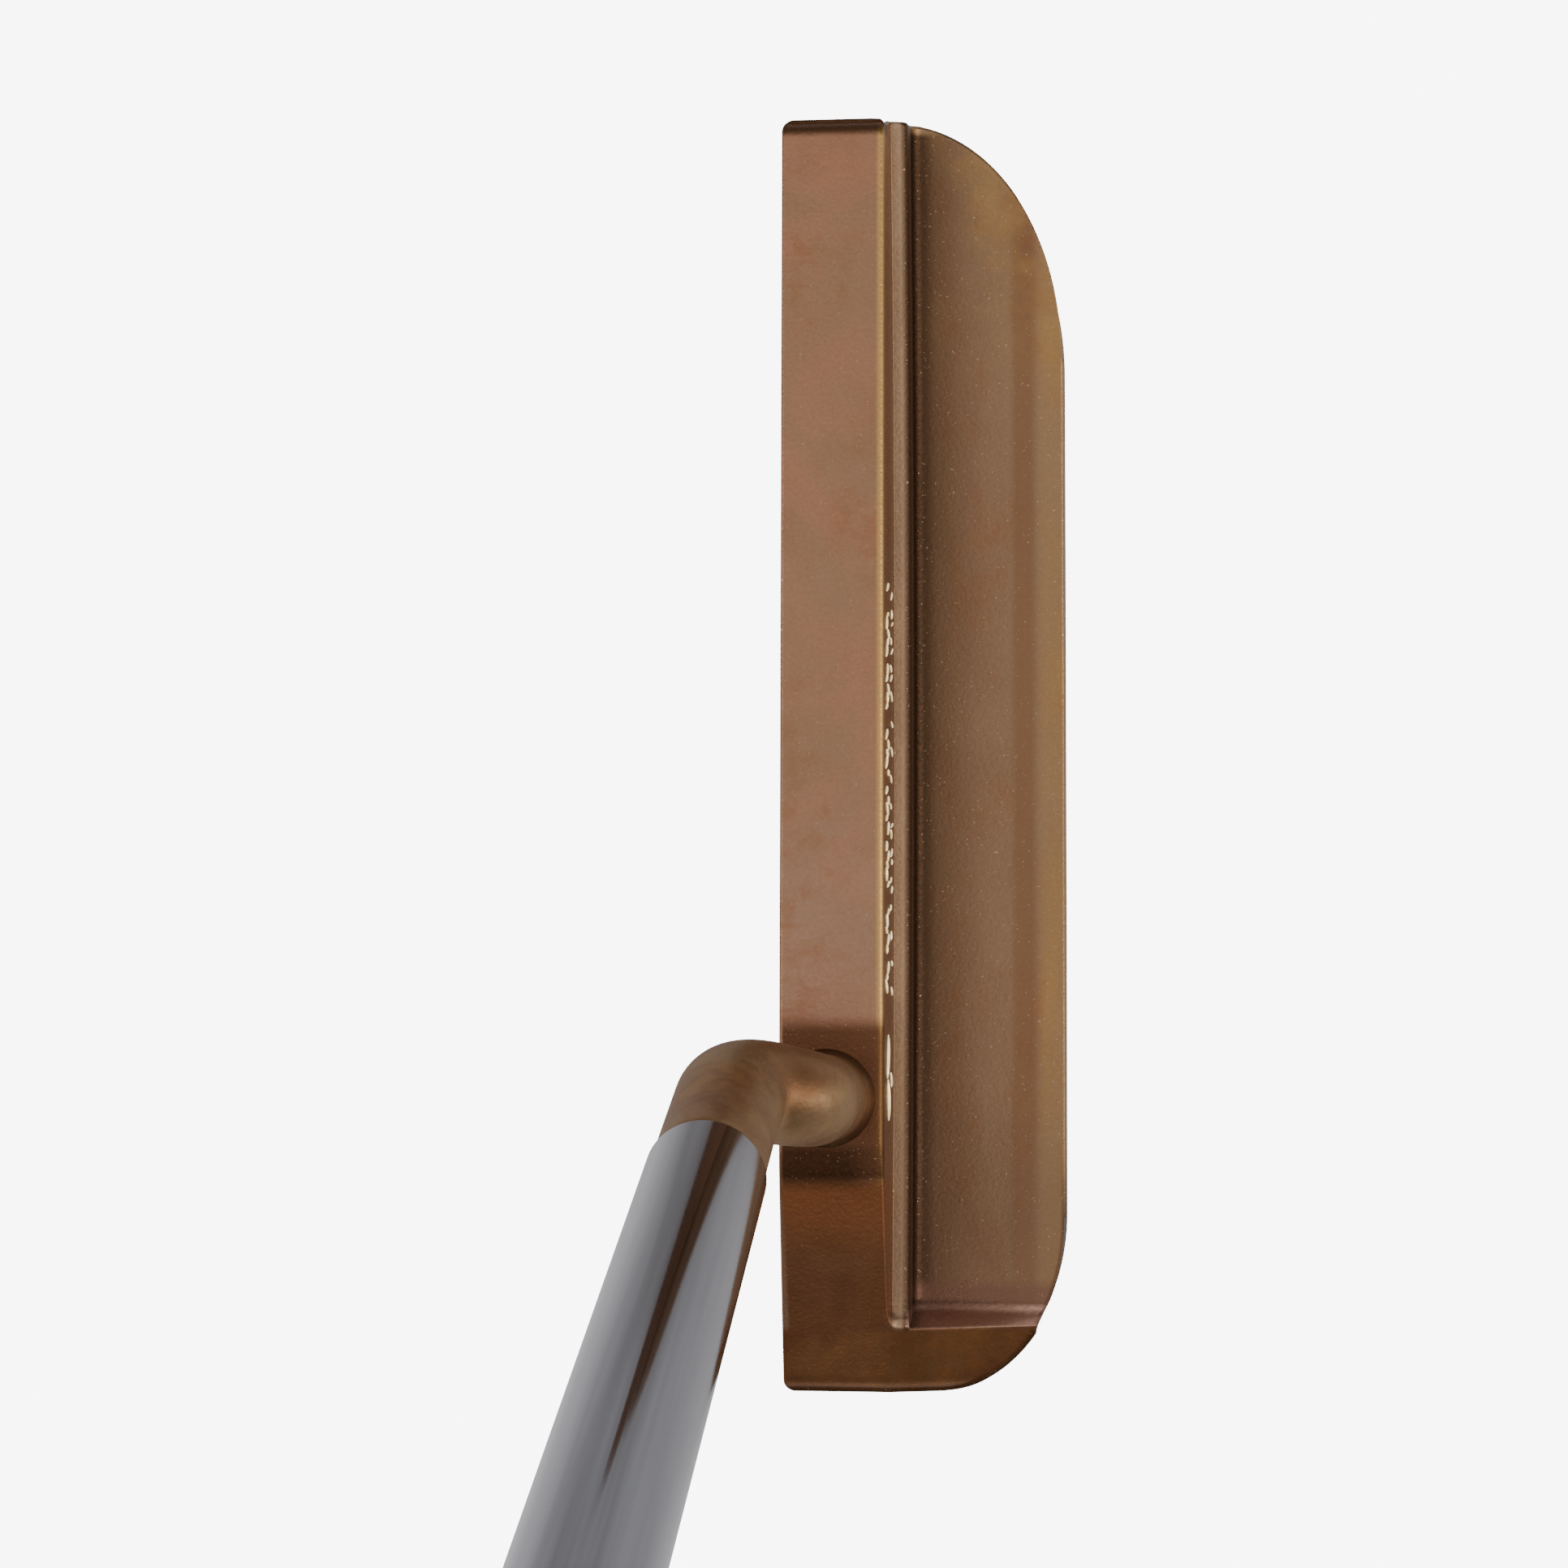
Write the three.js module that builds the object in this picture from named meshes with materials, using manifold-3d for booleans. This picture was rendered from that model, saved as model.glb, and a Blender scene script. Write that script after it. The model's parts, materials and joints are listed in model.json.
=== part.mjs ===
// A golf putter: a blade head with a cut-out back, a flow neck, a stepped steel shaft and a pistol grip.
// Millimetres. The sole rests on z = 0, +Y runs to the toe, +X to the back flange, the face looks to -X.
import * as THREE from "three";
import { mergeVertices } from "three/addons/utils/BufferGeometryUtils.js";
import Module from "manifold-3d";

const wasm = await Module();
wasm.setup();

// Head, seen from above
const TOE_Y = 61.5; // toe end of the flange
const HEEL_Y = -59; // heel end
const FACE_X = -12.4; // face edge of the topline
const REAR_X = 13.4; // back edge of the flange
const TOE_CORNER = { alongX: 16.1, alongY: 22.3 };
const HEEL_CORNER = { alongX: 11.8, alongY: 16 };

// Head, seen from the face
const BLADE_HEIGHT = 25;
const LOFT = THREE.MathUtils.degToRad(3);
const TOE_LEAN = 2.3; // how far the toe end stands out past the end of the topline
const TOE_LEAN_Z = 14; // height where the toe stands out furthest
const SOLE_FLAT = 15; // half length of the flat part of the sole
const SOLE_LIFT = { toe: 3.2, heel: 2.6 }; // rise of the sole at its ends
const SOLE_RUN = { toe: 8.5, heel: 8 }; // end curve, from the end of the sole to the end of the head
const SOLE_BOW = { toe: 1.5, heel: 1 }; // height over the sole's ends that the end curves aim for
const END_HEIGHT = 9; // height where the end curves meet the ends
const SLOPE_START_Y = -37.5; // where the heel starts to fall away behind the neck
const SHELF = { y: -53, z: 17.6 }; // front of the heel shelf
const HEEL_TOP_Z = 15.4;
const SHELF_FALL = 0.37; // slope of the heel shelf down to the back edge
const HEEL_CHAMFER = { alongY: 0.4, alongZ: 1 };

// Cut-out behind the blade
const TOPLINE_WIDTH = 9.5;
const WALL_DRAFT = 0.3;
const LEDGE = { z: 14.4, width: 1.6, round: 0.4 };
const FLOOR_Z = 8;
const FLOOR_FILLET = 1.2;
const CREASE = { x: 8.7, z: 8.5 };
const REAR_EDGE_Z = 8.1;
const FLOOR_RISE = { toe: 6, heel: 3.5 }; // lift of the floor at the ends of the head
const POCKET_LEAN = 0.2; // slope of the heel wall of the cut-out

// Neck
const POST = { x: -8.1, y: -31 }; // the post stands here at the height of its bend
const POST_DIAMETER = 7.9;
const POST_LEAN = 0.3; // the foot of the post is this much nearer the heel
const POST_RISE = 15.3; // topline to the corner of the first bend
const NECK_OFFSET = 6.23; // post to shaft line, towards the target
const NECK_SWEEP = 1.17; // first bend to the second, towards the toe
const NECK_CLIMB = 3.6; // rise from the first bend to the second
const BEND_TANGENT = { post: 3, shaft: 4.2 }; // straight length that each bend replaces
const NECK_TAIL = 19.57; // corner of the second bend to the end of the shaft
const THICKENING = { from: 0.2, to: 0.62 }; // shares of the neck's length between its two diameters
const SPIGOT = { diameter: 6, depth: 9 };
const LIE = THREE.MathUtils.degToRad(70);

// Shaft, measured along its own line from the ground
const CLUB_LENGTH = 864; // 34 inches
const TIP_DIAMETER = 9.8;
const BUTT_DIAMETER = 14.7;
const SHAFT_WALL = 0.6;
const TIP_STRAIGHT = 250;
const STEP_COUNT = 7;
const STEP_PITCH = 38;
const STEP_RUN = 2;
const NECK_STEP = 0.3; // the shaft stands this far proud of the neck that it sits on
const PLUG_DEPTH = 25; // length of the neck inside the shaft

// Grip
const GRIP_LENGTH = 262;
const GRIP_CAP = 3.6;
const GRIP_SIDE = { mouth: 1.7, butt: 4.2 }; // rubber over the bore at the sides
const GRIP_BACK = { mouth: 2.2, swell: 9.2, butt: 7.2 }; // rubber over the bore behind
const GRIP_FRONT = { mouth: 1, butt: 2.3 }; // rubber over the bore under the flat front
const GRIP_EASE = { side: 0.9, back: 0.25 }; // shares where the sides stop and the back starts to grow
const SWELL_AT = 0.84; // share of the grip below the fullest part
const FLAT_DEPTH = 3; // height of the round front that the flat cuts off
const TAPE = 0.35;
const TAPE_INSET = 4; // mouth of the grip to the end of the tape
const CAP_PLUG = 2.5;
const CAP_CHAMFER = { from: 0.4, inset: 1.2 }; // starts at this share of the cap above its middle

// Clearances and fineness
const GAP = 0.3;
const BOND = 0.3; // thickness of the braze and of the glue line
const SIDES = 28;
const NECK_RINGS = 44;
const FLOOR_STEPS = 28;
const GRIP_SIDES = 36;
const GRIP_RINGS = 20;
const MARGIN = 10; // how far a cutting shape runs past what it cuts
const OVERLAP = 2; // how far joined lengths run into each other

function asSolid(geometry) {
  const plain = geometry.clone();
  plain.deleteAttribute("normal");
  plain.deleteAttribute("uv");
  const merged = mergeVertices(plain, 1e-4);
  const vertProperties = Float32Array.from(merged.attributes.position.array);
  const triVerts = Uint32Array.from(merged.index.array);
  return new wasm.Manifold(new wasm.Mesh({ numProp: 3, vertProperties, triVerts }));
}

function asGeometry(solid) {
  const mesh = solid.getMesh();
  const geometry = new THREE.BufferGeometry();
  geometry.setAttribute("position", new THREE.BufferAttribute(mesh.vertProperties, 3));
  geometry.setIndex(new THREE.BufferAttribute(mesh.triVerts, 1));
  geometry.computeVertexNormals();
  return geometry;
}

function named(name, geometry, color, roughness, metalness) {
  const material = new THREE.MeshStandardMaterial({ color, roughness, metalness });
  const mesh = new THREE.Mesh(geometry, material);
  mesh.name = name;
  return mesh;
}

// A flat outline pushed along an axis; the three vectors say where its x, y and depth point.
function prism(shape, depth, xAxis, yAxis, zAxis, steps = 1) {
  const geometry = new THREE.ExtrudeGeometry(shape, { depth, steps, bevelEnabled: false, curveSegments: 14 });
  geometry.applyMatrix4(new THREE.Matrix4().makeBasis(xAxis, yAxis, zAxis));
  return geometry;
}

// A round tube or rod about +Z between two heights; inner radius 0 makes it a rod.
function sleeve(outer, inner, from, to) {
  const profile = [new THREE.Vector2(inner, from), new THREE.Vector2(outer, from)];
  profile.push(new THREE.Vector2(outer, to), new THREE.Vector2(inner, to));
  if (inner > 0) profile.push(profile[0].clone());
  const geometry = new THREE.LatheGeometry(profile, SIDES);
  geometry.rotateX(Math.PI / 2);
  return geometry;
}

const X = new THREE.Vector3(1, 0, 0);
const Y = new THREE.Vector3(0, 1, 0);
const Z = new THREE.Vector3(0, 0, 1);

// ---- Neck line: up the post, across towards the target, then along the shaft ----
const shaftAlong = new THREE.Vector3(0, -Math.cos(LIE), Math.sin(LIE));
const postFoot = new THREE.Vector3(POST.x, POST.y - POST_LEAN, BLADE_HEIGHT);
const firstBend = new THREE.Vector3(POST.x, POST.y, BLADE_HEIGHT + POST_RISE);
const secondBend = firstBend.clone().add(new THREE.Vector3(-NECK_OFFSET, NECK_SWEEP, NECK_CLIMB));
const shaftStart = secondBend.clone().addScaledVector(shaftAlong, NECK_TAIL);
const ground = secondBend.clone().addScaledVector(shaftAlong, -secondBend.z / shaftAlong.z);
const tipAt = shaftStart.distanceTo(ground); // distances along the shaft line start at the ground

// ---- Head ----
const wallX = FACE_X + TOPLINE_WIDTH;

function planOutline() {
  const shape = new THREE.Shape();
  const front = FACE_X - 2 * BLADE_HEIGHT * Math.tan(LOFT);
  shape.moveTo(front, HEEL_Y);
  const heel = { x: REAR_X - HEEL_CORNER.alongX, y: HEEL_Y + HEEL_CORNER.alongY };
  const toe = { x: REAR_X - TOE_CORNER.alongX, y: TOE_Y - TOE_CORNER.alongY };
  shape.lineTo(heel.x, HEEL_Y);
  shape.absellipse(heel.x, heel.y, HEEL_CORNER.alongX, HEEL_CORNER.alongY, -Math.PI / 2, 0);
  shape.lineTo(REAR_X, toe.y);
  shape.absellipse(toe.x, toe.y, TOE_CORNER.alongX, TOE_CORNER.alongY, 0, Math.PI / 2);
  shape.lineTo(front, TOE_Y);
  return shape;
}

function faceOutline() {
  const shape = new THREE.Shape();
  const toeSole = TOE_Y - SOLE_RUN.toe;
  const heelSole = HEEL_Y + SOLE_RUN.heel;
  shape.moveTo(-SOLE_FLAT, 0);
  shape.lineTo(SOLE_FLAT, 0);
  shape.quadraticCurveTo((SOLE_FLAT + toeSole) / 2, 0, toeSole, SOLE_LIFT.toe);
  shape.quadraticCurveTo(TOE_Y, SOLE_LIFT.toe + SOLE_BOW.toe, TOE_Y, END_HEIGHT);
  shape.lineTo(TOE_Y, TOE_LEAN_Z);
  shape.lineTo(TOE_Y - TOE_LEAN, BLADE_HEIGHT);
  shape.lineTo(SLOPE_START_Y, BLADE_HEIGHT);
  shape.lineTo(SHELF.y, SHELF.z);
  shape.lineTo(HEEL_Y + HEEL_CHAMFER.alongY, HEEL_TOP_Z);
  shape.lineTo(HEEL_Y, HEEL_TOP_Z - HEEL_CHAMFER.alongZ);
  shape.lineTo(HEEL_Y, END_HEIGHT);
  shape.quadraticCurveTo(HEEL_Y, SOLE_LIFT.heel + SOLE_BOW.heel, heelSole, SOLE_LIFT.heel);
  shape.quadraticCurveTo((heelSole - SOLE_FLAT) / 2, 0, -SOLE_FLAT, 0);
  return shape;
}

// The floor of the cut-out follows the sole: it climbs towards both ends.
function floorRise(y) {
  const end = y > 0 ? TOE_Y : HEEL_Y;
  const rise = y > 0 ? FLOOR_RISE.toe : FLOOR_RISE.heel;
  return rise * (y / end) ** 2;
}

function cutOut() {
  const ledgeX = wallX + WALL_DRAFT;
  const lipX = ledgeX + LEDGE.width;
  const above = BLADE_HEIGHT * 2;
  const section = new THREE.Shape();
  section.moveTo(wallX, above);
  section.lineTo(wallX, BLADE_HEIGHT);
  section.lineTo(ledgeX, LEDGE.z);
  section.lineTo(lipX - LEDGE.round, LEDGE.z);
  section.quadraticCurveTo(lipX, LEDGE.z, lipX, LEDGE.z - LEDGE.round);
  section.lineTo(lipX, FLOOR_Z + FLOOR_FILLET);
  section.quadraticCurveTo(lipX, FLOOR_Z, lipX + FLOOR_FILLET, FLOOR_Z);
  section.lineTo(CREASE.x, CREASE.z);
  section.lineTo(REAR_X, REAR_EDGE_Z);
  section.lineTo(2 * REAR_X, REAR_EDGE_Z);
  section.lineTo(2 * REAR_X, above);
  const length = TOE_Y - HEEL_Y + 2 * MARGIN;
  const geometry = prism(section, length, X, Z, Y.clone().negate(), FLOOR_STEPS);
  geometry.translate(0, TOE_Y + MARGIN, 0);
  const place = geometry.attributes.position;
  for (let i = 0; i < place.count; i += 1) {
    place.setZ(i, place.getZ(i) + floorRise(place.getY(i)));
  }
  const limit = new THREE.Shape();
  limit.moveTo(SHELF.y + POCKET_LEAN * SHELF.z, 0);
  limit.lineTo(SHELF.y, SHELF.z);
  limit.lineTo(SHELF.y, 3 * BLADE_HEIGHT);
  limit.lineTo(2 * TOE_Y, 3 * BLADE_HEIGHT);
  limit.lineTo(2 * TOE_Y, 0);
  const inside = prism(limit, 8 * REAR_X, Y, Z, X);
  inside.translate(-4 * REAR_X, 0, 0);
  return asSolid(geometry).intersect(asSolid(inside));
}

// What lies over the heel shelf: the shelf falls to the heel end and to the back edge.
function overShelf() {
  const farX = 2 * REAR_X;
  const above = BLADE_HEIGHT * 2;
  const section = new THREE.Shape();
  section.moveTo(wallX, above);
  section.lineTo(wallX, SHELF.z);
  section.lineTo(farX, SHELF.z - SHELF_FALL * (farX - wallX));
  section.lineTo(farX, above);
  const geometry = prism(section, SHELF.y - HEEL_Y + 2 * MARGIN, X, Z, Y.clone().negate());
  geometry.translate(0, SHELF.y + MARGIN, 0);
  const slope = (SHELF.z - HEEL_TOP_Z) / (SHELF.y - HEEL_Y);
  const place = geometry.attributes.position;
  for (let i = 0; i < place.count; i += 1) {
    place.setZ(i, place.getZ(i) + slope * (place.getY(i) - SHELF.y));
  }
  return asSolid(geometry);
}

function headBlade() {
  const plan = prism(planOutline(), BLADE_HEIGHT, X, Y, Z);
  const side = prism(faceOutline(), 4 * REAR_X, Y, Z, X);
  side.translate(-2 * REAR_X, 0, 0);
  const inFront = new THREE.BoxGeometry(BLADE_HEIGHT, 3 * TOE_Y, 4 * BLADE_HEIGHT);
  inFront.translate(-BLADE_HEIGHT / 2, 0, 0);
  inFront.rotateY(LOFT);
  inFront.translate(FACE_X, 0, BLADE_HEIGHT);
  const bore = sleeve(SPIGOT.diameter / 2 + 2 * GAP, 0, BLADE_HEIGHT - SPIGOT.depth - GAP, 2 * BLADE_HEIGHT);
  bore.translate(postFoot.x, postFoot.y, 0);
  const blank = asSolid(plan).intersect(asSolid(side)).subtract(asSolid(inFront));
  const head = blank.subtract(cutOut()).subtract(overShelf()).subtract(asSolid(bore));
  return named("head_blade", asGeometry(head), 0x9c765c, 0.45, 0.9);
}

// ---- Neck ----
function toTipFrame(geometry) {
  geometry.rotateX(Math.PI / 2 - LIE);
  geometry.translate(ground.x, ground.y, 0);
  return geometry;
}

function neckLine() {
  const up = firstBend.clone().sub(postFoot).normalize();
  const across = secondBend.clone().sub(firstBend).normalize();
  const line = new THREE.CurvePath();
  const stops = [
    postFoot.clone().addScaledVector(up, GAP),
    firstBend.clone().addScaledVector(up, -BEND_TANGENT.post),
    firstBend.clone().addScaledVector(across, BEND_TANGENT.post),
    secondBend.clone().addScaledVector(across, -BEND_TANGENT.shaft),
    secondBend.clone().addScaledVector(shaftAlong, BEND_TANGENT.shaft),
    shaftStart.clone().addScaledVector(shaftAlong, -GAP),
  ];
  line.add(new THREE.LineCurve3(stops[0], stops[1]));
  line.add(new THREE.QuadraticBezierCurve3(stops[1], firstBend, stops[2]));
  line.add(new THREE.LineCurve3(stops[2], stops[3]));
  line.add(new THREE.QuadraticBezierCurve3(stops[3], secondBend, stops[4]));
  line.add(new THREE.LineCurve3(stops[4], stops[5]));
  return line;
}

// A unit cylinder carried along a path, with a radius for each share of the path's length.
function bentBar(path, radiusAt) {
  const geometry = new THREE.CylinderGeometry(1, 1, 1, SIDES, NECK_RINGS);
  geometry.rotateX(Math.PI / 2);
  const place = geometry.attributes.position;
  for (let i = 0; i < place.count; i += 1) {
    const share = THREE.MathUtils.clamp(place.getZ(i) + 0.5, 0, 1);
    const along = path.getTangentAt(share);
    const first = Y.clone().addScaledVector(along, -along.y).normalize();
    const second = along.clone().cross(first);
    const point = path.getPointAt(share);
    point.addScaledVector(first, radiusAt(share) * place.getX(i));
    point.addScaledVector(second, radiusAt(share) * place.getY(i));
    place.setXYZ(i, point.x, point.y, point.z);
  }
  return geometry;
}

function neckRadius(share) {
  const thicker = THREE.MathUtils.smoothstep(share, THICKENING.from, THICKENING.to);
  return THREE.MathUtils.lerp(POST_DIAMETER / 2, TIP_DIAMETER / 2 - NECK_STEP, thicker);
}

function flowNeck() {
  const bent = bentBar(neckLine(), neckRadius);
  const spigotRadius = SPIGOT.diameter / 2 - GAP;
  const spigot = sleeve(spigotRadius, 0, BLADE_HEIGHT - SPIGOT.depth + GAP, BLADE_HEIGHT + OVERLAP);
  spigot.translate(postFoot.x, postFoot.y, 0);
  const plugRadius = TIP_DIAMETER / 2 - SHAFT_WALL - 2 * GAP - BOND;
  const plug = toTipFrame(sleeve(plugRadius, 0, tipAt - OVERLAP, tipAt + PLUG_DEPTH));
  const neck = asSolid(bent).add(asSolid(spigot)).add(asSolid(plug));
  return named("flow_neck", asGeometry(neck), 0x6c5438, 0.45, 0.9);
}

function neckBraze() {
  const inner = SPIGOT.diameter / 2 - GAP / 2;
  const geometry = sleeve(inner + BOND, inner, BLADE_HEIGHT - SPIGOT.depth + GAP, BLADE_HEIGHT - GAP);
  geometry.translate(postFoot.x, postFoot.y, 0);
  return named("neck_braze", geometry, 0xb9a26a, 0.5, 0.9);
}

// ---- Shaft and grip, built along +Z from the ground point ----
function shaftProfile() {
  const points = [];
  const end = CLUB_LENGTH - GRIP_CAP - GAP;
  const inner = TIP_DIAMETER / 2 - SHAFT_WALL;
  const growth = (BUTT_DIAMETER - TIP_DIAMETER) / 2 / STEP_COUNT;
  points.push([TIP_DIAMETER / 2, tipAt]);
  for (let i = 0; i < STEP_COUNT; i += 1) {
    const at = tipAt + TIP_STRAIGHT + i * STEP_PITCH;
    points.push([TIP_DIAMETER / 2 + i * growth, at]);
    points.push([TIP_DIAMETER / 2 + (i + 1) * growth, at + STEP_RUN]);
  }
  points.push([BUTT_DIAMETER / 2, end]);
  points.push([BUTT_DIAMETER / 2 - SHAFT_WALL, end]);
  for (let i = STEP_COUNT - 1; i >= 0; i -= 1) {
    const at = tipAt + TIP_STRAIGHT + i * STEP_PITCH;
    points.push([inner + (i + 1) * growth, at + STEP_RUN]);
    points.push([inner + i * growth, at]);
  }
  points.push([inner, tipAt]);
  points.push(points[0]);
  return points.map(([radius, along]) => new THREE.Vector2(radius, along));
}

function shaft() {
  const geometry = new THREE.LatheGeometry(shaftProfile(), SIDES);
  geometry.rotateX(Math.PI / 2);
  return named("shaft", geometry, 0xaab0b6, 0.12, 1);
}

function shaftBond() {
  const outer = TIP_DIAMETER / 2 - SHAFT_WALL - GAP / 2;
  const geometry = sleeve(outer, outer - BOND, tipAt + GAP, tipAt + PLUG_DEPTH - GAP);
  return named("shaft_bond", geometry, 0xd8c9a0, 0.5, 0);
}

const capFrom = CLUB_LENGTH - GRIP_CAP;
const gripFrom = capFrom - GAP - GRIP_LENGTH;
const gripBore = BUTT_DIAMETER / 2 + TAPE + 2 * GAP;

function gripTape() {
  const inner = BUTT_DIAMETER / 2 + GAP;
  const geometry = sleeve(inner + TAPE, inner, gripFrom + TAPE_INSET, capFrom - 2 * GAP - CAP_PLUG);
  return named("grip_tape", geometry, 0xe8e2cf, 0.8, 0);
}

// Half width, front and back depth of the grip at a share of its length.
function gripSection(share) {
  const ease = THREE.MathUtils.smoothstep;
  const side = THREE.MathUtils.lerp(GRIP_SIDE.mouth, GRIP_SIDE.butt, ease(share, 0, GRIP_EASE.side));
  const front = THREE.MathUtils.lerp(GRIP_FRONT.mouth, GRIP_FRONT.butt, share);
  const fuller = ease(share, GRIP_EASE.back, SWELL_AT);
  const rising = THREE.MathUtils.lerp(GRIP_BACK.mouth, GRIP_BACK.swell, fuller);
  const falling = (GRIP_BACK.swell - GRIP_BACK.butt) * ease(share, SWELL_AT, 1);
  return { half: gripBore + side, front: gripBore + front, back: gripBore + rising - falling };
}

// Reshapes a unit cylinder about +Z: round behind, flat in front.
function gripShape(geometry, shareAt, shrinkAt) {
  const place = geometry.attributes.position;
  for (let i = 0; i < place.count; i += 1) {
    const size = gripSection(shareAt(place.getZ(i)));
    const shrink = shrinkAt(place.getZ(i));
    const deep = place.getY(i);
    const y = deep > 0 ? Math.min(size.front, deep * (size.front + FLAT_DEPTH)) : deep * size.back;
    place.setXY(i, place.getX(i) * (size.half - shrink), y - Math.sign(deep) * shrink * Math.abs(deep));
  }
  return geometry;
}

function grip() {
  const body = new THREE.CylinderGeometry(1, 1, GRIP_LENGTH, GRIP_SIDES, GRIP_RINGS);
  body.rotateX(Math.PI / 2);
  gripShape(body, (z) => z / GRIP_LENGTH + 0.5, () => 0);
  body.translate(0, 0, gripFrom + GRIP_LENGTH / 2);
  const bore = sleeve(gripBore, 0, gripFrom - OVERLAP, capFrom + OVERLAP);
  return named("grip", asGeometry(asSolid(body).subtract(asSolid(bore))), 0x202124, 0.85, 0);
}

function gripEndCap() {
  const body = new THREE.CylinderGeometry(1, 1, GRIP_CAP, GRIP_SIDES, 3);
  body.rotateX(Math.PI / 2);
  gripShape(body, () => 1, (z) => (z > GRIP_CAP * CAP_CHAMFER.from ? CAP_CHAMFER.inset : 0));
  body.translate(0, 0, capFrom + GRIP_CAP / 2);
  const plug = sleeve(gripBore - GAP, BUTT_DIAMETER / 2 + GAP, capFrom - CAP_PLUG, capFrom + GRIP_CAP / 2);
  return named("grip_end_cap", asGeometry(asSolid(body).add(asSolid(plug))), 0x2a2b2e, 0.7, 0);
}

const putter = new THREE.Group();
putter.add(headBlade(), flowNeck(), neckBraze());
const shaftGroup = new THREE.Group();
shaftGroup.position.copy(ground);
shaftGroup.rotation.x = Math.PI / 2 - LIE;
shaftGroup.add(shaft(), shaftBond(), gripTape(), grip(), gripEndCap());
putter.add(shaftGroup);

export default putter;
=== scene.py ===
"""A golf putter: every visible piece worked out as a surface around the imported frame."""
import json
import math
import bmesh
import bpy
import numpy as np
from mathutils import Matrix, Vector


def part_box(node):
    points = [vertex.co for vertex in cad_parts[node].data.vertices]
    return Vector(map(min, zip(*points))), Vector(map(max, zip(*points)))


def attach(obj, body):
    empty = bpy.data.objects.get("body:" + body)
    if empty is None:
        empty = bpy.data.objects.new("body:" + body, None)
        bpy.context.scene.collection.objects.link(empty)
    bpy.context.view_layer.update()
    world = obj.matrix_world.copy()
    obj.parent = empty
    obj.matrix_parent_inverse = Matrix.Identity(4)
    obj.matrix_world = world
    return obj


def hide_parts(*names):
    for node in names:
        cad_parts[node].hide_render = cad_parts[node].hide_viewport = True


bl_info = {
    "name": "Blade Putter",
    "version": (1, 0, 0),
    "blender": (4, 5, 0),
    "location": "3D View > Sidebar > Putter",
    "description": "Builds a blade putter with a flow neck around its frame",
    "category": "Add Mesh",
}

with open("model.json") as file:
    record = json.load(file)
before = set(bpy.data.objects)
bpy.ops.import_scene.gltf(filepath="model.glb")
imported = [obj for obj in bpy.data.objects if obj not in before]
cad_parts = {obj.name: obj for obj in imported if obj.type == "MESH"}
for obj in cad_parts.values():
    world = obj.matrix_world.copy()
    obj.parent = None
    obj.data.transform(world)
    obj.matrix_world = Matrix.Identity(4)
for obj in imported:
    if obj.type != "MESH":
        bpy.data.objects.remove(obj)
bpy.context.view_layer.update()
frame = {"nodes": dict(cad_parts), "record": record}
MM = 0.001
HEAD_LOW, HEAD_HIGH = (np.array(corner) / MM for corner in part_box("head_blade"))
LOFT = math.radians(3.0)
LIE = math.radians(70.0)
SHAFT_ALONG = np.array([0.0, -math.cos(LIE), math.sin(LIE)])


def mount(name):
    """The place of a mount of the record, in millimetres."""
    found = next(m for m in frame["record"]["mounts"] if m["name"] == name)
    return np.array(found["pos_m"]) / MM


BUTT = mount("butt_end")
CLUB_LENGTH = BUTT[2] / SHAFT_ALONG[2]
BUTT_DIAMETER = 14.7
GROUND = BUTT - CLUB_LENGTH * SHAFT_ALONG


# ---------------------------------------------------------------- sizes and colours
def length(name, text, value):
    return bpy.props.FloatProperty(name=name, description=text, default=value * MM, unit="LENGTH")


def colour(name, text, value):
    return bpy.props.FloatVectorProperty(
        name=name, description=text, default=value, size=3, subtype="COLOR", min=0.0, max=1.0
    )


class HeadSizes(bpy.types.PropertyGroup):
    topline: length("Topline width", "Face edge to the edge of the cut-out", 9.5)
    heel_break: length("Heel break", "Where the heel starts to fall away, from the middle", -37.5)
    shelf: length("Heel shelf", "Where the cut-out ends, from the middle", -53.0)
    shelf_top: length("Shelf height", "Height of the front of the heel shelf", 17.6)
    ledge: length("Ledge height", "Height of the ledge along the wall, midway", 14.4)
    ledge_width: length("Ledge width", "How far the ledge stands out of the wall", 1.6)
    floor: length("Floor height", "Height of the flange floor at its root, midway", 8.0)
    crease: length("Crease", "Where the floor turns down to its back edge", 8.7)
    edge: length("Edge round", "Radius of the worked edges", 0.35)
    corner: length("Face corner", "Radius of the face's upright corners, seen from above", 1.1)


class ShaftSizes(bpy.types.PropertyGroup):
    tip: length("Tip diameter", "Outside diameter of the tip", 9.8)
    butt: length("Butt diameter", "Outside diameter under the grip", BUTT_DIAMETER)
    wall: length("Wall", "Thickness of the tube", 0.6)
    straight: length("Tip length", "Straight stretch before the first step", 250.0)
    pitch: length("Step pitch", "Distance from one step to the next", 38.0)
    neck_step: length("Neck step", "How far the shaft stands proud of the neck", 0.3)
    post: length("Post diameter", "Thickness of the neck where it leaves the head", 7.9)


class Finishes(bpy.types.PropertyGroup):
    rosy: colour("Rosy bronze", "Main tone of the patina", (0.42, 0.205, 0.120))
    olive: colour("Olive bronze", "Dull tone of the patina", (0.33, 0.200, 0.115))
    gold: colour("Worn gold", "Where the patina has worn thin", (0.48, 0.275, 0.090))
    brown: colour("Burnt brown", "Darkest tone of the patina", (0.26, 0.100, 0.040))
    neck: colour("Neck bronze", "Tone of the neck", (0.33, 0.205, 0.105))
    chrome: colour("Chrome", "Plating of the shaft", (0.27, 0.268, 0.30))
    rubber: colour("Rubber", "The grip", (0.022, 0.022, 0.024))


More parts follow.
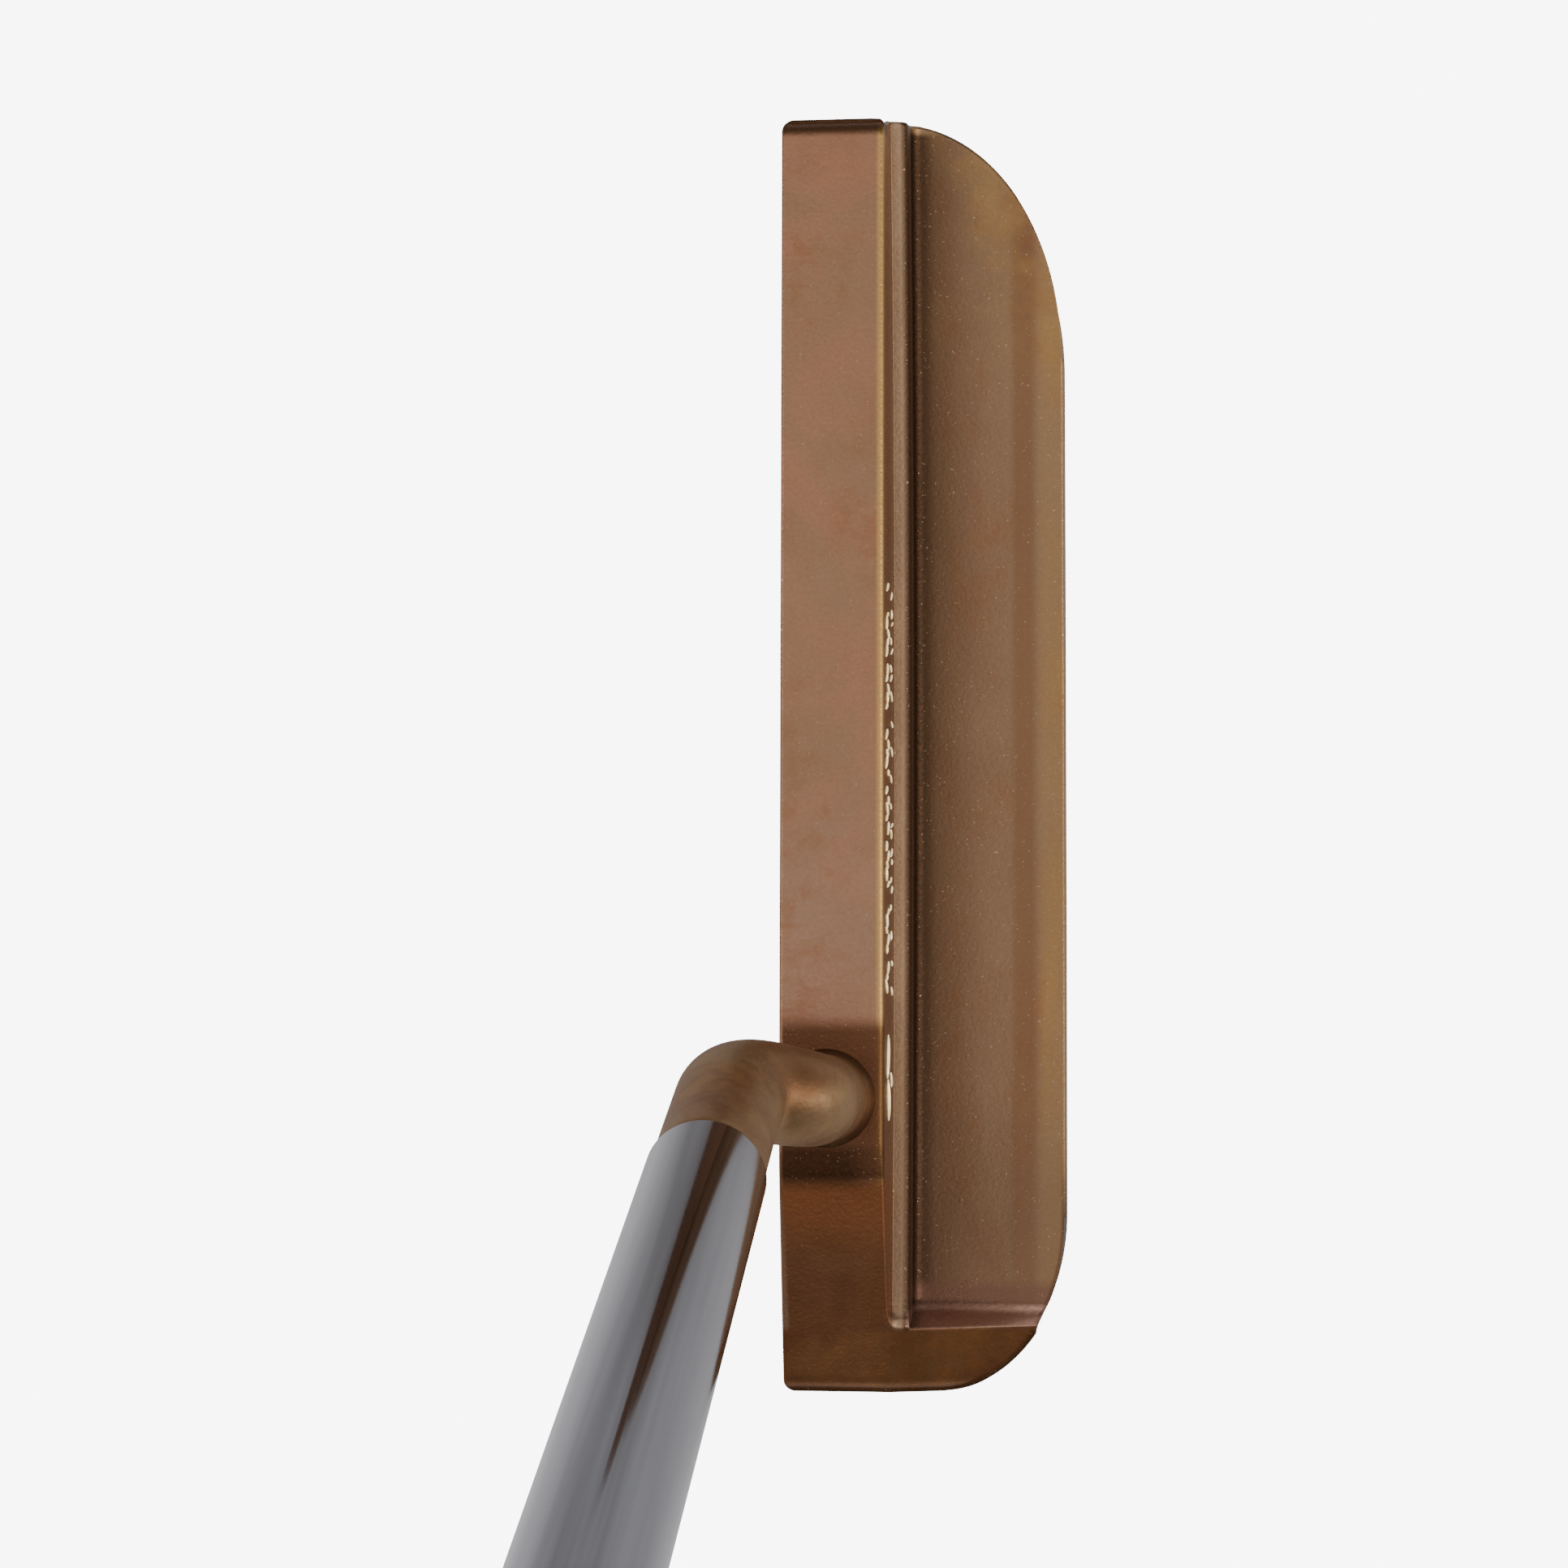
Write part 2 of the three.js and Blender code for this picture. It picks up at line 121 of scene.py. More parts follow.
# ---------------------------------------------------------------- meshes from numpy grids
def add_mesh(name, points, faces, material, smooth=True):
    """Makes one object from points in millimetres and lists of quads and triangles."""
    mesh = bpy.data.meshes.new(name)
    mesh.from_pydata((np.asarray(points) * MM).tolist(), [], faces)
    mesh.validate()
    mesh.polygons.foreach_set("use_smooth", np.full(len(mesh.polygons), smooth))
    mesh.materials.append(material)
    thing = bpy.data.objects.new(name, mesh)
    bpy.context.scene.collection.objects.link(thing)
    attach(thing, "root")
    return thing


def grid_faces(rows, columns, wrap_rows=False, wrap_columns=False, first=0, flip=False):
    """Quads between neighbouring rows and columns of a grid whose points are numbered row by row."""
    r = np.arange(rows if wrap_rows else rows - 1)
    c = np.arange(columns if wrap_columns else columns - 1)
    r, c = (a.ravel() for a in np.meshgrid(r, c, indexing="ij"))
    r2, c2 = (r + 1) % rows, (c + 1) % columns
    quads = np.stack([r * columns + c, r * columns + c2, r2 * columns + c2, r2 * columns + c], 1)
    if flip:
        quads = quads[:, ::-1]
    return (quads + first).tolist()


def weld(thing, distance=0.004):
    """Joins points closer than the distance, in millimetres, so that a folded grid closes."""
    work = bmesh.new()
    work.from_mesh(thing.data)
    bmesh.ops.remove_doubles(work, verts=work.verts, dist=distance * MM)
    bmesh.ops.dissolve_degenerate(work, edges=work.edges, dist=distance * MM)
    bmesh.ops.recalc_face_normals(work, faces=work.faces)
    work.to_mesh(thing.data)
    work.free()
    thing.data.update()


def arc(start, end, count):
    """Angles in radians from start to end degrees, both included."""
    return np.radians(np.linspace(start, end, count))


def unit(vectors):
    return vectors / np.maximum(np.linalg.norm(vectors, axis=-1, keepdims=True), 1e-9)


# ---------------------------------------------------------------- the head
SHELF_FALL = 0.37  # fall of the heel shelf for each step towards the back
WALL_DRAFT = 0.3  # how far the wall's foot stands out from its top
TOE_RISE, HEEL_RISE = 6.0, 3.5  # climb of the floor and the ledge from the middle to each end


def smooth(x, low, high):
    """Smoothstep from 0 at low to 1 at high."""
    t = np.clip((np.asarray(x, float) - low) / (high - low), 0.0, 1.0)
    return t * t * (3.0 - 2.0 * t)


def round_fall(into):
    """How far a unit quarter circle has fallen at a share of its run."""
    return 1.0 - np.sqrt(1.0 - into**2)


class HeadShape:
    """The head as heights over its plan. x runs from the face to the back, y from heel to toe."""

    TOE_CORNER = (16.1, 22.3)
    HEEL_CORNER = (11.8, 16.0)
    TOE_LEAN = 2.3
    LEAN_FROM = 14.0
    SOLE_FLAT = 15.0
    FROM_PANEL = ("heel_break", "shelf", "shelf_top", "ledge", "floor", "crease", "edge", "corner")

    def __init__(self, sizes):
        self.toe, self.heel = HEAD_HIGH[1], HEAD_LOW[1]
        self.rear, self.top = HEAD_HIGH[0], HEAD_HIGH[2]
        self.face = HEAD_LOW[0] + self.top * math.tan(LOFT)
        self.wall = self.face + sizes.topline / MM
        self.lip = self.wall + WALL_DRAFT + sizes.ledge_width / MM
        for key in self.FROM_PANEL:
            setattr(self, key, getattr(sizes, key) / MM)

    def outline(self, x, inset):
        """Heel and toe ends at x, and the outward direction there: flat ends, a small round
        corner at the face and a quarter ellipse at the back."""
        ends = []
        for sign, end, (along_x, along_y) in (
            (-1, self.heel, self.HEEL_CORNER),
            (1, self.toe, self.TOE_CORNER),
        ):
            centre = np.array([self.rear - along_x, end - sign * along_y])
            rx, ry = along_x - inset, along_y - inset
            back = np.clip((x - centre[0]) / rx, 0.0, 1.0)
            reach = np.sqrt(1.0 - back**2)
            y = centre[1] + sign * ry * reach
            normal = np.stack([back / rx, sign * reach / ry], -1)
            small = max(self.corner - inset, 1e-3)
            front = np.clip((self.face + inset + small - x) / small, 0.0, 1.0)
            rise = np.sqrt(1.0 - front**2)
            y = y - sign * small * (1.0 - rise) - (sign > 0) * self.wall_corner(x)
            at_front = np.stack([-front, sign * rise], -1)
            normal = np.where((front > 0)[..., None], at_front, unit(normal))
            ends.append((y, normal))
        return ends

    def wall_corner(self, x, radius=0.7):
        """How far the toe end stands back beside the wall: a quarter circle on the topline, and a
        straight return down the wall."""
        over = np.clip((x - self.wall + radius) / radius, 0.0, 0.98)
        back = np.clip((self.wall + WALL_DRAFT - x) / WALL_DRAFT, 0.0, 1.0)
        return radius * round_fall(over) * back

    def end_roll(self, y, toe=1.5, heel=1.1):
        """How far the top drops where it rolls over at both ends, on circles of these radii."""
        into_toe = np.clip((y - self.toe + self.edge + toe) / toe, 0.0, 0.93)
        into_heel = np.clip((self.heel + self.edge + heel - y) / heel, 0.0, 0.93)
        return toe * round_fall(into_toe) + heel * round_fall(into_heel)

    def topline_height(self, y):
        """Level, then a straight fall behind the neck, both eased where they meet."""
        slope = (self.top - self.shelf_top) / (self.heel_break - self.shelf)
        ease = 2.5
        run = self.heel_break - np.asarray(y, float)
        soft = np.where(run > ease, run, np.clip(run + ease, 0.0, None) ** 2 / (4.0 * ease))
        return self.top - slope * soft - self.end_roll(y)

    def rise(self, y):
        """The floor and the ledge climb with the square of the distance from the middle."""
        return np.where(y > 0, TOE_RISE * (y / self.toe) ** 2, HEEL_RISE * (y / self.heel) ** 2)

    def sole_height(self, y):
        """Flat in the middle, parabolas beyond it, and round ends."""
        beyond = np.clip(np.abs(y) - self.SOLE_FLAT, 0.0, None)
        lift = np.where(y > 0, 3.2 / (53.0 - 15.0) ** 2, 2.6 / (51.0 - 15.0) ** 2) * beyond**2
        into = np.where(y > 0, (y - 53.0) / 8.5, (-51.0 - y) / 8.0)
        into = np.clip(into, 0.0, 1.0)
        return lift + 5.0 * (1.0 - np.sqrt(1.0 - 0.98 * into**2.2))

    def open_share(self, x, y):
        """1 in the cut-out and 0 on the heel shelf, through a round foot, a steep wall and an edge."""
        corner = 1.1
        near = np.clip((self.wall + corner - x) / corner, 0.0, 1.0)
        start = self.shelf + corner * round_fall(near)
        foot, brow, lean, depth = 1.3, 0.35, 0.9, 6.0
        over, under = arc(0, 80, 8), arc(80, 0, 9)
        ys = np.concatenate([brow * np.sin(over), brow + lean + foot * (1.0 - np.sin(under))])
        drop = np.concatenate([brow * (1.0 - np.cos(over)), depth - foot * (1.0 - np.cos(under))]) / depth
        return np.interp(y - start, ys, drop, left=0.0, right=1.0)

    def columns(self):
        """The section across the head as a row of points: x, and how each one's height is made from
        the topline (t), the ledge (l) and the floor (f), plus a height of its own."""
        r, bead = self.edge, 0.45
        first = self.face + r
        rows = []

        def add(x, t, l, f, own):
            rows.append((x, t, l, f, own))

        small = self.corner - r
        for a in arc(0, 90, 7)[:-1]:
            add(first + small * (1.0 - math.cos(a)), 1, 0, 0, 0)
        for x in np.linspace(first + small, self.wall - bead, 12):
            add(x, 1, 0, 0, 0)
        for a in arc(0, 90, 7)[1:]:
            add(self.wall - bead + bead * math.sin(a), 1, 0, 0, bead * (math.cos(a) - 1.0))
        root = 0.12
        for s in np.linspace(0.0, 1.0, 9)[1:]:
            add(self.wall + WALL_DRAFT * s, 1 - s, s, 0, (s - 1) * bead + s * root)
        for a in arc(0, 90, 6)[1:]:
            add(self.wall + WALL_DRAFT + root * (1 - math.cos(a)), 0, 1, 0, root * (1 - math.sin(a)))
        brow = 0.75
        for x in np.linspace(self.wall + WALL_DRAFT + root, self.lip - brow, 4)[1:]:
            add(x, 0, 1, 0, 0)
        for a in arc(0, 90, 7)[1:]:
            add(self.lip - brow + brow * math.sin(a), 0, 1, 0, brow * (math.cos(a) - 1.0))
        foot = 1.2
        for s in np.linspace(0.0, 1.0, 7)[1:]:
            add(self.lip + 0.02 * s, 0, 1 - s, s, (s - 1) * brow + s * foot)
        for a in arc(0, 90, 9)[1:]:
            add(self.lip + 0.02 + foot * (1 - math.cos(a)), 0, 0, 1, foot * (1 - math.sin(a)))
        ellipse = self.rear - self.TOE_CORNER[0]
        start = self.lip + 0.02 + foot
        last = self.rear - r
        angle = math.asin((start - ellipse) / (self.TOE_CORNER[0] - r))
        for a in np.linspace(angle, math.pi / 2, 44)[1:]:
            add(min(ellipse + (self.TOE_CORNER[0] - r) * math.sin(a), last), 0, 0, 1, 0)
        return np.array(rows)

    def dish(self, x):
        """The floor across: a shallow hollow that rises to the crease, then falls to the back edge."""
        start = self.lip + 1.2
        t = np.clip((x - start) / (self.crease - start), 0.0, 1.0)
        rising = 0.5 * t**1.6
        over = 0.35
        fall = np.clip(x - self.crease, 0.0, None)
        eased = np.where(fall > over, fall - over / 2, fall**2 / (2 * over))
        return rising - eased * 0.4 / (self.rear - self.crease)

    def height(self, column, x, y):
        """Height of the upper surface for a column of the section."""
        _, t, l, f, own = column
        top = self.topline_height(y)
        ledge = np.minimum(self.ledge + self.rise(y), top - 1.0)
        floor = self.floor + self.rise(y) + self.dish(x)
        cut = t * top + l * ledge + f * floor + own
        openness = self.open_share(x, y)
        shelf = top - SHELF_FALL * np.clip(x - self.wall, 0.0, None)
        return np.where(t == 1, top + own * openness, shelf - (shelf - cut) * openness)


def head_grid(shape):
    """Plan points and heights: each column's y values stop at the outline, so the grid folds up
    against it and closes when it is welded."""
    columns = shape.columns()
    stations = np.concatenate([
        shape.heel + shape.edge + (shape.corner - shape.edge) * (1 - np.cos(arc(0, 90, 6)[:-1])),
        np.linspace(shape.heel + shape.corner, shape.shelf - 0.2, 12),
        np.linspace(shape.shelf - 0.1, shape.shelf + 0.4, 8),
        np.linspace(shape.shelf + 0.45, shape.shelf + 3.8, 26),
        np.linspace(shape.shelf + 4.1, shape.heel_break + 4, 24),
        np.linspace(shape.heel_break + 5, 38.0, 40),
        np.linspace(38.6, shape.toe - 2.0, 46),
        np.linspace(shape.toe - 1.9, shape.toe - shape.corner, 10),
        shape.toe - shape.edge - (shape.corner - shape.edge) * (1 - np.cos(arc(90, 0, 6)[1:])),
    ])
    x = np.repeat(columns[:, :1], len(stations), 1)
    (low, _), (high, _) = shape.outline(columns[:, 0], shape.edge)
    y = np.clip(stations[None, :], low[:, None], high[:, None])
    return columns, x, y


def lean(shape, z):
    """How far the toe end stands back at a height: none below the widest height, then nearly in
    step with it."""
    return shape.TOE_LEAN * np.clip((z - shape.LEAN_FROM) / (shape.top - shape.LEAN_FROM), 0.0, 1.0) ** 0.8


def blade_points(shape):
    columns, x, y = head_grid(shape)
    z = np.stack([shape.height(c, x[i], y[i]) for i, c in enumerate(columns)])
    y_top = y - lean(shape, z) * smooth(y, 40.0, shape.toe - 0.5)
    at_face = 1.0 - smooth(x, shape.face + 1.0, shape.face + 7.0)
    x_top = x - (shape.top - z) * math.tan(LOFT) * at_face
    z_low = shape.sole_height(y)
    x_low = x - (shape.top - z_low) * math.tan(LOFT) * at_face
    upper = np.stack([x_top, y_top, z], -1)
    lower = np.stack([x_low, y, z_low], -1)
    return columns, upper, lower


def perimeter(grid):
    """The border of a grid, once round: face side, toe end, back side, heel end."""
    return np.concatenate([grid[0, :], grid[1:, -1], grid[-1, -2::-1], grid[-2:0:-1, 0]])


def blade_head(sizes, material):
    """Two sheets over the same plan, an upper and a lower one, whose borders are carried round a
    quarter circle outwards and joined by straight walls."""
    shape = HeadShape(sizes)
    columns, upper, lower = blade_points(shape)
    rows, count = upper.shape[:2]
    (_, heel_out), (_, toe_out) = shape.outline(columns[:, 0], shape.edge)
    out = np.zeros((rows, count, 3))
    out[0, :, 0] = -1.0
    out[-1, :, 0] = 1.0
    out[:, 0, :2] = heel_out
    out[:, -1, :2] = toe_out
    outwards = perimeter(out)
    along = np.gradient(upper, axis=0)
    across = unit(np.stack([-along[..., 2], np.zeros((rows, count)), along[..., 0]], -1))
    across[columns[:, 1] == 1] = (0.0, 0.0, 1.0)
    upper_normal = perimeter(across)
    step = 0.05
    both_sides = perimeter(lower)[:, 1] + np.array([[-step], [step]])
    slope = np.diff(shape.sole_height(both_sides), axis=0)[0] / (2 * step)
    lower_normal = unit(np.stack([np.zeros_like(slope), slope, -np.ones_like(slope)], -1))
    rings = []
    turns = arc(0, 90, 5)[1:]
    radius = shape.edge
    brim, foot = perimeter(upper), perimeter(lower)
    low_rings = []
    for a in turns:
        rings.append(brim + radius * (math.sin(a) * outwards - (1 - math.cos(a)) * upper_normal))
        low_rings.append(foot + radius * (math.sin(a) * outwards - (1 - math.cos(a)) * lower_normal))
    for s in np.linspace(0, 1, 9)[1:-1]:
        rings.append(rings[3] * (1 - s) + low_rings[-1] * s)
    rings += low_rings[::-1]
    around = len(outwards)
    numbers = np.arange(rows * count).reshape(rows, count)
    border = perimeter(numbers)
    faces = grid_faces(rows, count)
    faces += grid_faces(rows, count, first=rows * count, flip=True)
    first = 2 * rows * count
    band = grid_faces(len(rings), around, wrap_columns=True, first=first)
    last = first + (len(rings) - 1) * around
    nxt = (np.arange(around) + 1) % around
    here = np.arange(around)
    start = np.stack([border, border[nxt], first + nxt, first + here], 1)
    end = np.stack([last + here, last + nxt, rows * count + border[nxt], rows * count + border], 1)
    points = np.concatenate([upper.reshape(-1, 3), lower.reshape(-1, 3)] + rings)
    points = np.clip(points, HEAD_LOW, HEAD_HIGH)
    faces += band + start.tolist() + end.tolist()
    thing = add_mesh("blade_head", points, faces, material)
    weld(thing)
    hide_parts("head_blade")
    return thing


# ---------------------------------------------------------------- round bars and tubes
def frames_along(points, toward):
    """Two directions square to a path at each point, the first as near as can be to a given one."""
    tangent = unit(np.gradient(points, axis=0))
    first = unit(toward - (tangent @ toward)[:, None] * tangent)
    return first, np.cross(tangent, first)


def tube_points(points, radii, sides, toward):
    """Circles of the given radii, square to the path."""
    first, second = frames_along(points, toward)
    turn = np.linspace(0, 2 * np.pi, sides, endpoint=False)
    ring = first[:, None] * np.cos(turn)[None, :, None] + second[:, None] * np.sin(turn)[None, :, None]
    return points[:, None] + ring * np.asarray(radii)[:, None, None]


def rounded_path(corners, cut, spacing=0.6):
    """Straight runs between the corners, each inner corner replaced by a parabola that starts and
    ends at the cut distance from it."""
    pieces = []
    start = corners[0]
    for i in range(1, len(corners) - 1):
        before = unit(corners[i - 1] - corners[i])
        after = unit(corners[i + 1] - corners[i])
        a, b = corners[i] + before * cut[i - 1], corners[i] + after * cut[i - 1]
        pieces.append(straight(start, a, spacing)[:-1])
        t = np.linspace(0, 1, 26)[:, None]
        pieces.append(((1 - t) ** 2 * a + 2 * t * (1 - t) * corners[i] + t**2 * b)[:-1])
        start = b
    pieces.append(straight(start, corners[-1], spacing))
    return np.concatenate(pieces)


def straight(a, b, spacing):
    count = max(2, int(np.linalg.norm(b - a) / spacing) + 1)
    return a + (b - a) * np.linspace(0, 1, count)[:, None]


def capped(points):
    """Faces of a tube grid, with a fan on a point at the middle of each end."""
    rows, sides = points.shape[:2]
    flat = points.reshape(-1, 3)
    ends = np.stack([points[0].mean(0), points[-1].mean(0)])
    faces = grid_faces(rows, sides, wrap_columns=True)
    here = np.arange(sides)
    nxt = (here + 1) % sides
    middle = rows * sides
    faces += np.stack([np.full(sides, middle), nxt, here], 1).tolist()
    last = (rows - 1) * sides
    faces += np.stack([np.full(sides, middle + 1), last + here, last + nxt], 1).tolist()
    return np.concatenate([flat, ends]), faces


FOOT = np.array([-8.1, -31.3, HEAD_HIGH[2]])
FIRST_BEND = FOOT + (0.0, 0.3, 15.3)
SECOND_BEND = FIRST_BEND + (-6.23, 1.17, 3.6)
TIP_AT = float((SECOND_BEND - GROUND) @ SHAFT_ALONG + 19.57)


def bent_neck(sizes, material):
    """A round bar along the post, over to the shaft line and up it. It thickens from the post to
    the shaft, spreads at its foot and is rounded at its shoulder."""
    end = GROUND + SHAFT_ALONG * (TIP_AT - 0.3)
    path = rounded_path([FOOT, FIRST_BEND, SECOND_BEND, end], cut=(3.0, 4.2))
    along = np.concatenate([[0.0], np.cumsum(np.linalg.norm(np.diff(path, axis=0), axis=1))])
    post, shoulder_radius = sizes.post / MM / 2, sizes.tip / MM / 2 - sizes.neck_step / MM
    radius = post + (shoulder_radius - post) * smooth(along / along[-1], 0.2, 0.62)
    weld_foot = 0.55 * np.clip(1.0 - along / 1.1, 0.0, 1.0) ** 2
    shoulder = 0.3 * round_fall(np.clip(1.0 - (along[-1] - along) / 0.3, 0.0, 1.0))
    points = tube_points(path, radius + weld_foot - shoulder, 72, np.array([0.0, 1.0, 0.0]))
    verts, faces = capped(points)
    thing = add_mesh("bent_neck", verts, faces, material)
    weld(thing)
    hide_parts("flow_neck")
    return thing


SIDEWAYS = np.array([1.0, 0.0, 0.0])
FRONT = np.cross(SHAFT_ALONG, SIDEWAYS)


def on_shaft_line(across, front, along):
    """Points given sideways, towards the flat front and along the shaft line."""
    across, front, along = np.broadcast_arrays(across, front, along)
    place = across[..., None] * SIDEWAYS + front[..., None] * FRONT + along[..., None] * SHAFT_ALONG
    return GROUND + place


def turned(profile, sides):
    """A closed profile of radii and places along the shaft line, turned about that line."""
    profile = np.asarray(profile)
    turn = np.linspace(0, 2 * np.pi, sides, endpoint=False)
    radius = profile[:, :1]
    return on_shaft_line(radius * np.cos(turn), radius * np.sin(turn), profile[:, 1:2])


def steel_shaft(sizes, material):
    """A stepped tube: each step is an S-shaped rise of the radius, and the tip edge is rounded."""
    tip, butt, wall = sizes.tip / MM / 2, sizes.butt / MM / 2, sizes.wall / MM
    end = CLUB_LENGTH - 4.0
    steps = 7
    first = TIP_AT + sizes.straight / MM
    places = first + sizes.pitch / MM * np.arange(steps)
    along = [np.linspace(TIP_AT + 0.3, first - 1, 40)]
    for at in places:
        along.append(at + np.linspace(-1.2, 3.2, 16))
        along.append(np.linspace(at + 3.6, at + sizes.pitch / MM - 2, 6))
    along.append(np.linspace(along[-1][-1] + 5, end, 20))
    along = np.concatenate(along)
    radius = tip + sum((butt - tip) / steps * smooth(along, at, at + 2.0) for at in places)
    edge = [(tip - 0.25 + 0.25 * math.sin(a), TIP_AT + 0.25 - 0.25 * math.cos(a)) for a in arc(0, 90, 5)]
    outer = np.stack([radius, along], 1)
    inner = np.stack([radius - wall, along], 1)[::-1]
    profile = np.concatenate([edge, outer, inner, [(tip - wall, TIP_AT)]])
    points = turned(profile, 96)
    faces = grid_faces(*points.shape[:2], wrap_rows=True, wrap_columns=True)
    thing = add_mesh("steel_shaft", points.reshape(-1, 3), faces, material)
    weld(thing)
    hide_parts("shaft")
    return thing


# ---------------------------------------------------------------- the grip
TAPE_ROOM = 0.95
END_GAP = 0.3
GRIP_BORE = BUTT_DIAMETER / 2 + TAPE_ROOM
CAP_THICKNESS = 3.6
CAP_ROUND = 1.2
INSIDE = 0.03
CAP_FROM = CLUB_LENGTH - CAP_THICKNESS
GRIP_LENGTH = 262.0
GRIP_FROM = CAP_FROM - END_GAP - GRIP_LENGTH


def grip_section(part, turn, shrink):
    """Sideways and front-to-back places of the grip's skin at shares of its length and turns round
    it: half an ellipse behind, and a flatter one cut off by the flat front."""
    shrink = shrink + 0.12
    half = GRIP_BORE + 1.7 + 2.5 * smooth(part, 0.0, 0.9) - shrink
    front = GRIP_BORE + 1.0 + 1.3 * part - shrink
    rising = 2.2 + 7.0 * smooth(part, 0.25, 0.84)
    back = GRIP_BORE + rising - 2.0 * smooth(part, 0.84, 1.0) - shrink
    deep = np.sin(turn)
    over = deep * (front + 3.0)
    blend = 0.9
    gap = np.clip((over - front + blend) / (2 * blend), 0.0, 1.0)
    flat = np.where(over > front + blend, front, np.where(gap > 0, over - blend * gap**2, over))
    return half * np.cos(turn), np.where(deep > 0, np.minimum(flat, front), deep * back)


def moulded_grip(material):
    """The skin carries bands of fine cross grooves behind and shallower cross ribs on the flat."""
    rows = np.linspace(0.0, 1.0, 700)
    turn = np.linspace(0, 2 * np.pi, 120, endpoint=False)
    part, around = np.meshgrid(rows, turn, indexing="ij")
    place = part * GRIP_LENGTH
    ends = smooth(place, 8.0, 12.0) * (1 - smooth(place, GRIP_LENGTH - 12.0, GRIP_LENGTH - 8.0))
    sides = 1.0 - smooth(np.sin(around), 0.05, 0.3)
    groove = 0.5 - 0.5 * np.cos(2 * np.pi * place / 2.25)
    on_flat = smooth(np.sin(around), 0.72, 0.8)
    rib = 0.5 - 0.5 * np.cos(2 * np.pi * place / 4.5)
    mouth = 0.6 * np.clip(1.0 - place / 1.2, 0.0, 1.0) ** 2
    shoulder = 0.5 * np.clip(1.0 - (GRIP_LENGTH - place) / 0.8, 0.0, 1.0) ** 2
    shrink = 0.28 * groove * sides * ends + 0.14 * rib * on_flat * ends + mouth + shoulder
    across, front = grip_section(part, around, shrink)
    outer = on_shaft_line(across, front, GRIP_FROM + place)
    bore = np.stack([np.full(6, GRIP_BORE), np.linspace(CAP_FROM - END_GAP, GRIP_FROM, 6)], 1)
    inner = turned(bore, len(turn))
    points = np.concatenate([outer, inner])
    faces = grid_faces(*points.shape[:2], wrap_rows=True, wrap_columns=True)
    thing = add_mesh("moulded_grip", points.reshape(-1, 3), faces, material)
    weld(thing)
    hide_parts("grip")
    return thing


def grip_cap(material):
    """A disc of the grip's own section with a rounded rim, a raised ring and a small vent."""
    turn = np.linspace(0, 2 * np.pi, 120, endpoint=False)
    rings = []
    for along, shrink in [(0.0, 0.3), (0.15, 0.05), (0.5, 0.0)]:
        rings.append((along, shrink))
    for a in arc(0, 90, 7):
        height = CAP_THICKNESS - INSIDE - CAP_ROUND * (1 - math.sin(a))
        rings.append((height, CAP_ROUND * (1 - math.cos(a))))
    points = []
    for along, shrink in rings:
        across, front = grip_section(np.ones_like(turn), turn, shrink)
        points.append(on_shaft_line(across, front, np.full_like(turn, CAP_FROM + along)))
    across, front = grip_section(np.ones_like(turn), turn, CAP_ROUND)
    ring = [(0.72, 0.0), (0.7, 0.25), (0.66, 0.25), (0.64, 0.0)]
    vent = [(0.12, 0.0), (0.1, 0.7), (0.05, 0.8)]
    for scale, dip in ring + vent:
        level = np.full_like(turn, CLUB_LENGTH - INSIDE - dip)
        points.append(on_shaft_line(across * scale, front * scale, level))
    verts, faces = capped(np.array(points))
    thing = add_mesh("butt_cap", verts, faces, material)
    weld(thing)
    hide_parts("grip_end_cap")
    return thing


# ---------------------------------------------------------------- cut strokes on the wall
def wall_strokes(sizes, material):
    """Short dashes in two rows on the wall behind the topline, and three longer ones beside
    the neck, made bright by the painted glow of their material. Each is a small bar with pointed ends, half
    sunk in the wall; lengths, heights and slants run through sines."""
    shape = HeadShape(sizes)
    number = np.arange(44)
    chain = 15.8 - 0.86 * number
    thick, thin = np.full(len(number), 0.14), np.full(len(number), 0.11)
    upper_z, lower_z = 21.3 + 0.9 * np.sin(number * 2.1), 17.6 + 0.6 * np.sin(number * 1.7)
    upper_long, lower_long = 0.95 + 0.35 * np.sin(number * 3.7), 0.7 + 0.2 * np.cos(number * 2.9)
    upper = np.stack([chain, upper_z, upper_long, thick], 1)[np.sin(number * 5.3) > -0.8]
    lower = np.stack([chain - 0.4, lower_z, lower_long, thin], 1)[np.sin(number * 4.1 + 1.0) > 0.1]
    leaves = np.array([[-27.6, 20.6, 4.0, 0.20], [-31.6, 20.2, 3.8, 0.22], [-29.8, 17.6, 1.4, 0.14]])
    bars = np.concatenate([upper, lower, leaves])
    share = np.linspace(-1.0, 1.0, 9)
    turn = np.linspace(0, 2 * np.pi, 8, endpoint=False)
    girth = bars[:, 3, None, None] * np.sqrt(1.0 - 0.96 * share**2)[:, None]
    slant = np.sin(bars[:, 0] * 2.3)
    y = bars[:, 0, None, None] + share[:, None] * bars[:, 2, None, None] / 2 + 0.0 * turn
    z = bars[:, 1, None, None] + share[:, None] * 0.7 * slant[:, None, None] + girth * np.sin(turn)
    wall_x = shape.wall + WALL_DRAFT * (shape.top - z) / (shape.top - shape.ledge)
    proud = 0.04
    x = wall_x + proud + girth * np.cos(turn)
    grids = np.stack([x, y, z], -1)
    points, faces = [], []
    for grid in grids:
        verts, quads = capped(grid)
        faces += [[index + len(points) * len(verts) for index in face] for face in quads]
        points.append(verts)
    thing = add_mesh("wall_strokes", np.concatenate(points), faces, material)
    weld(thing, 0.001)
    return thing


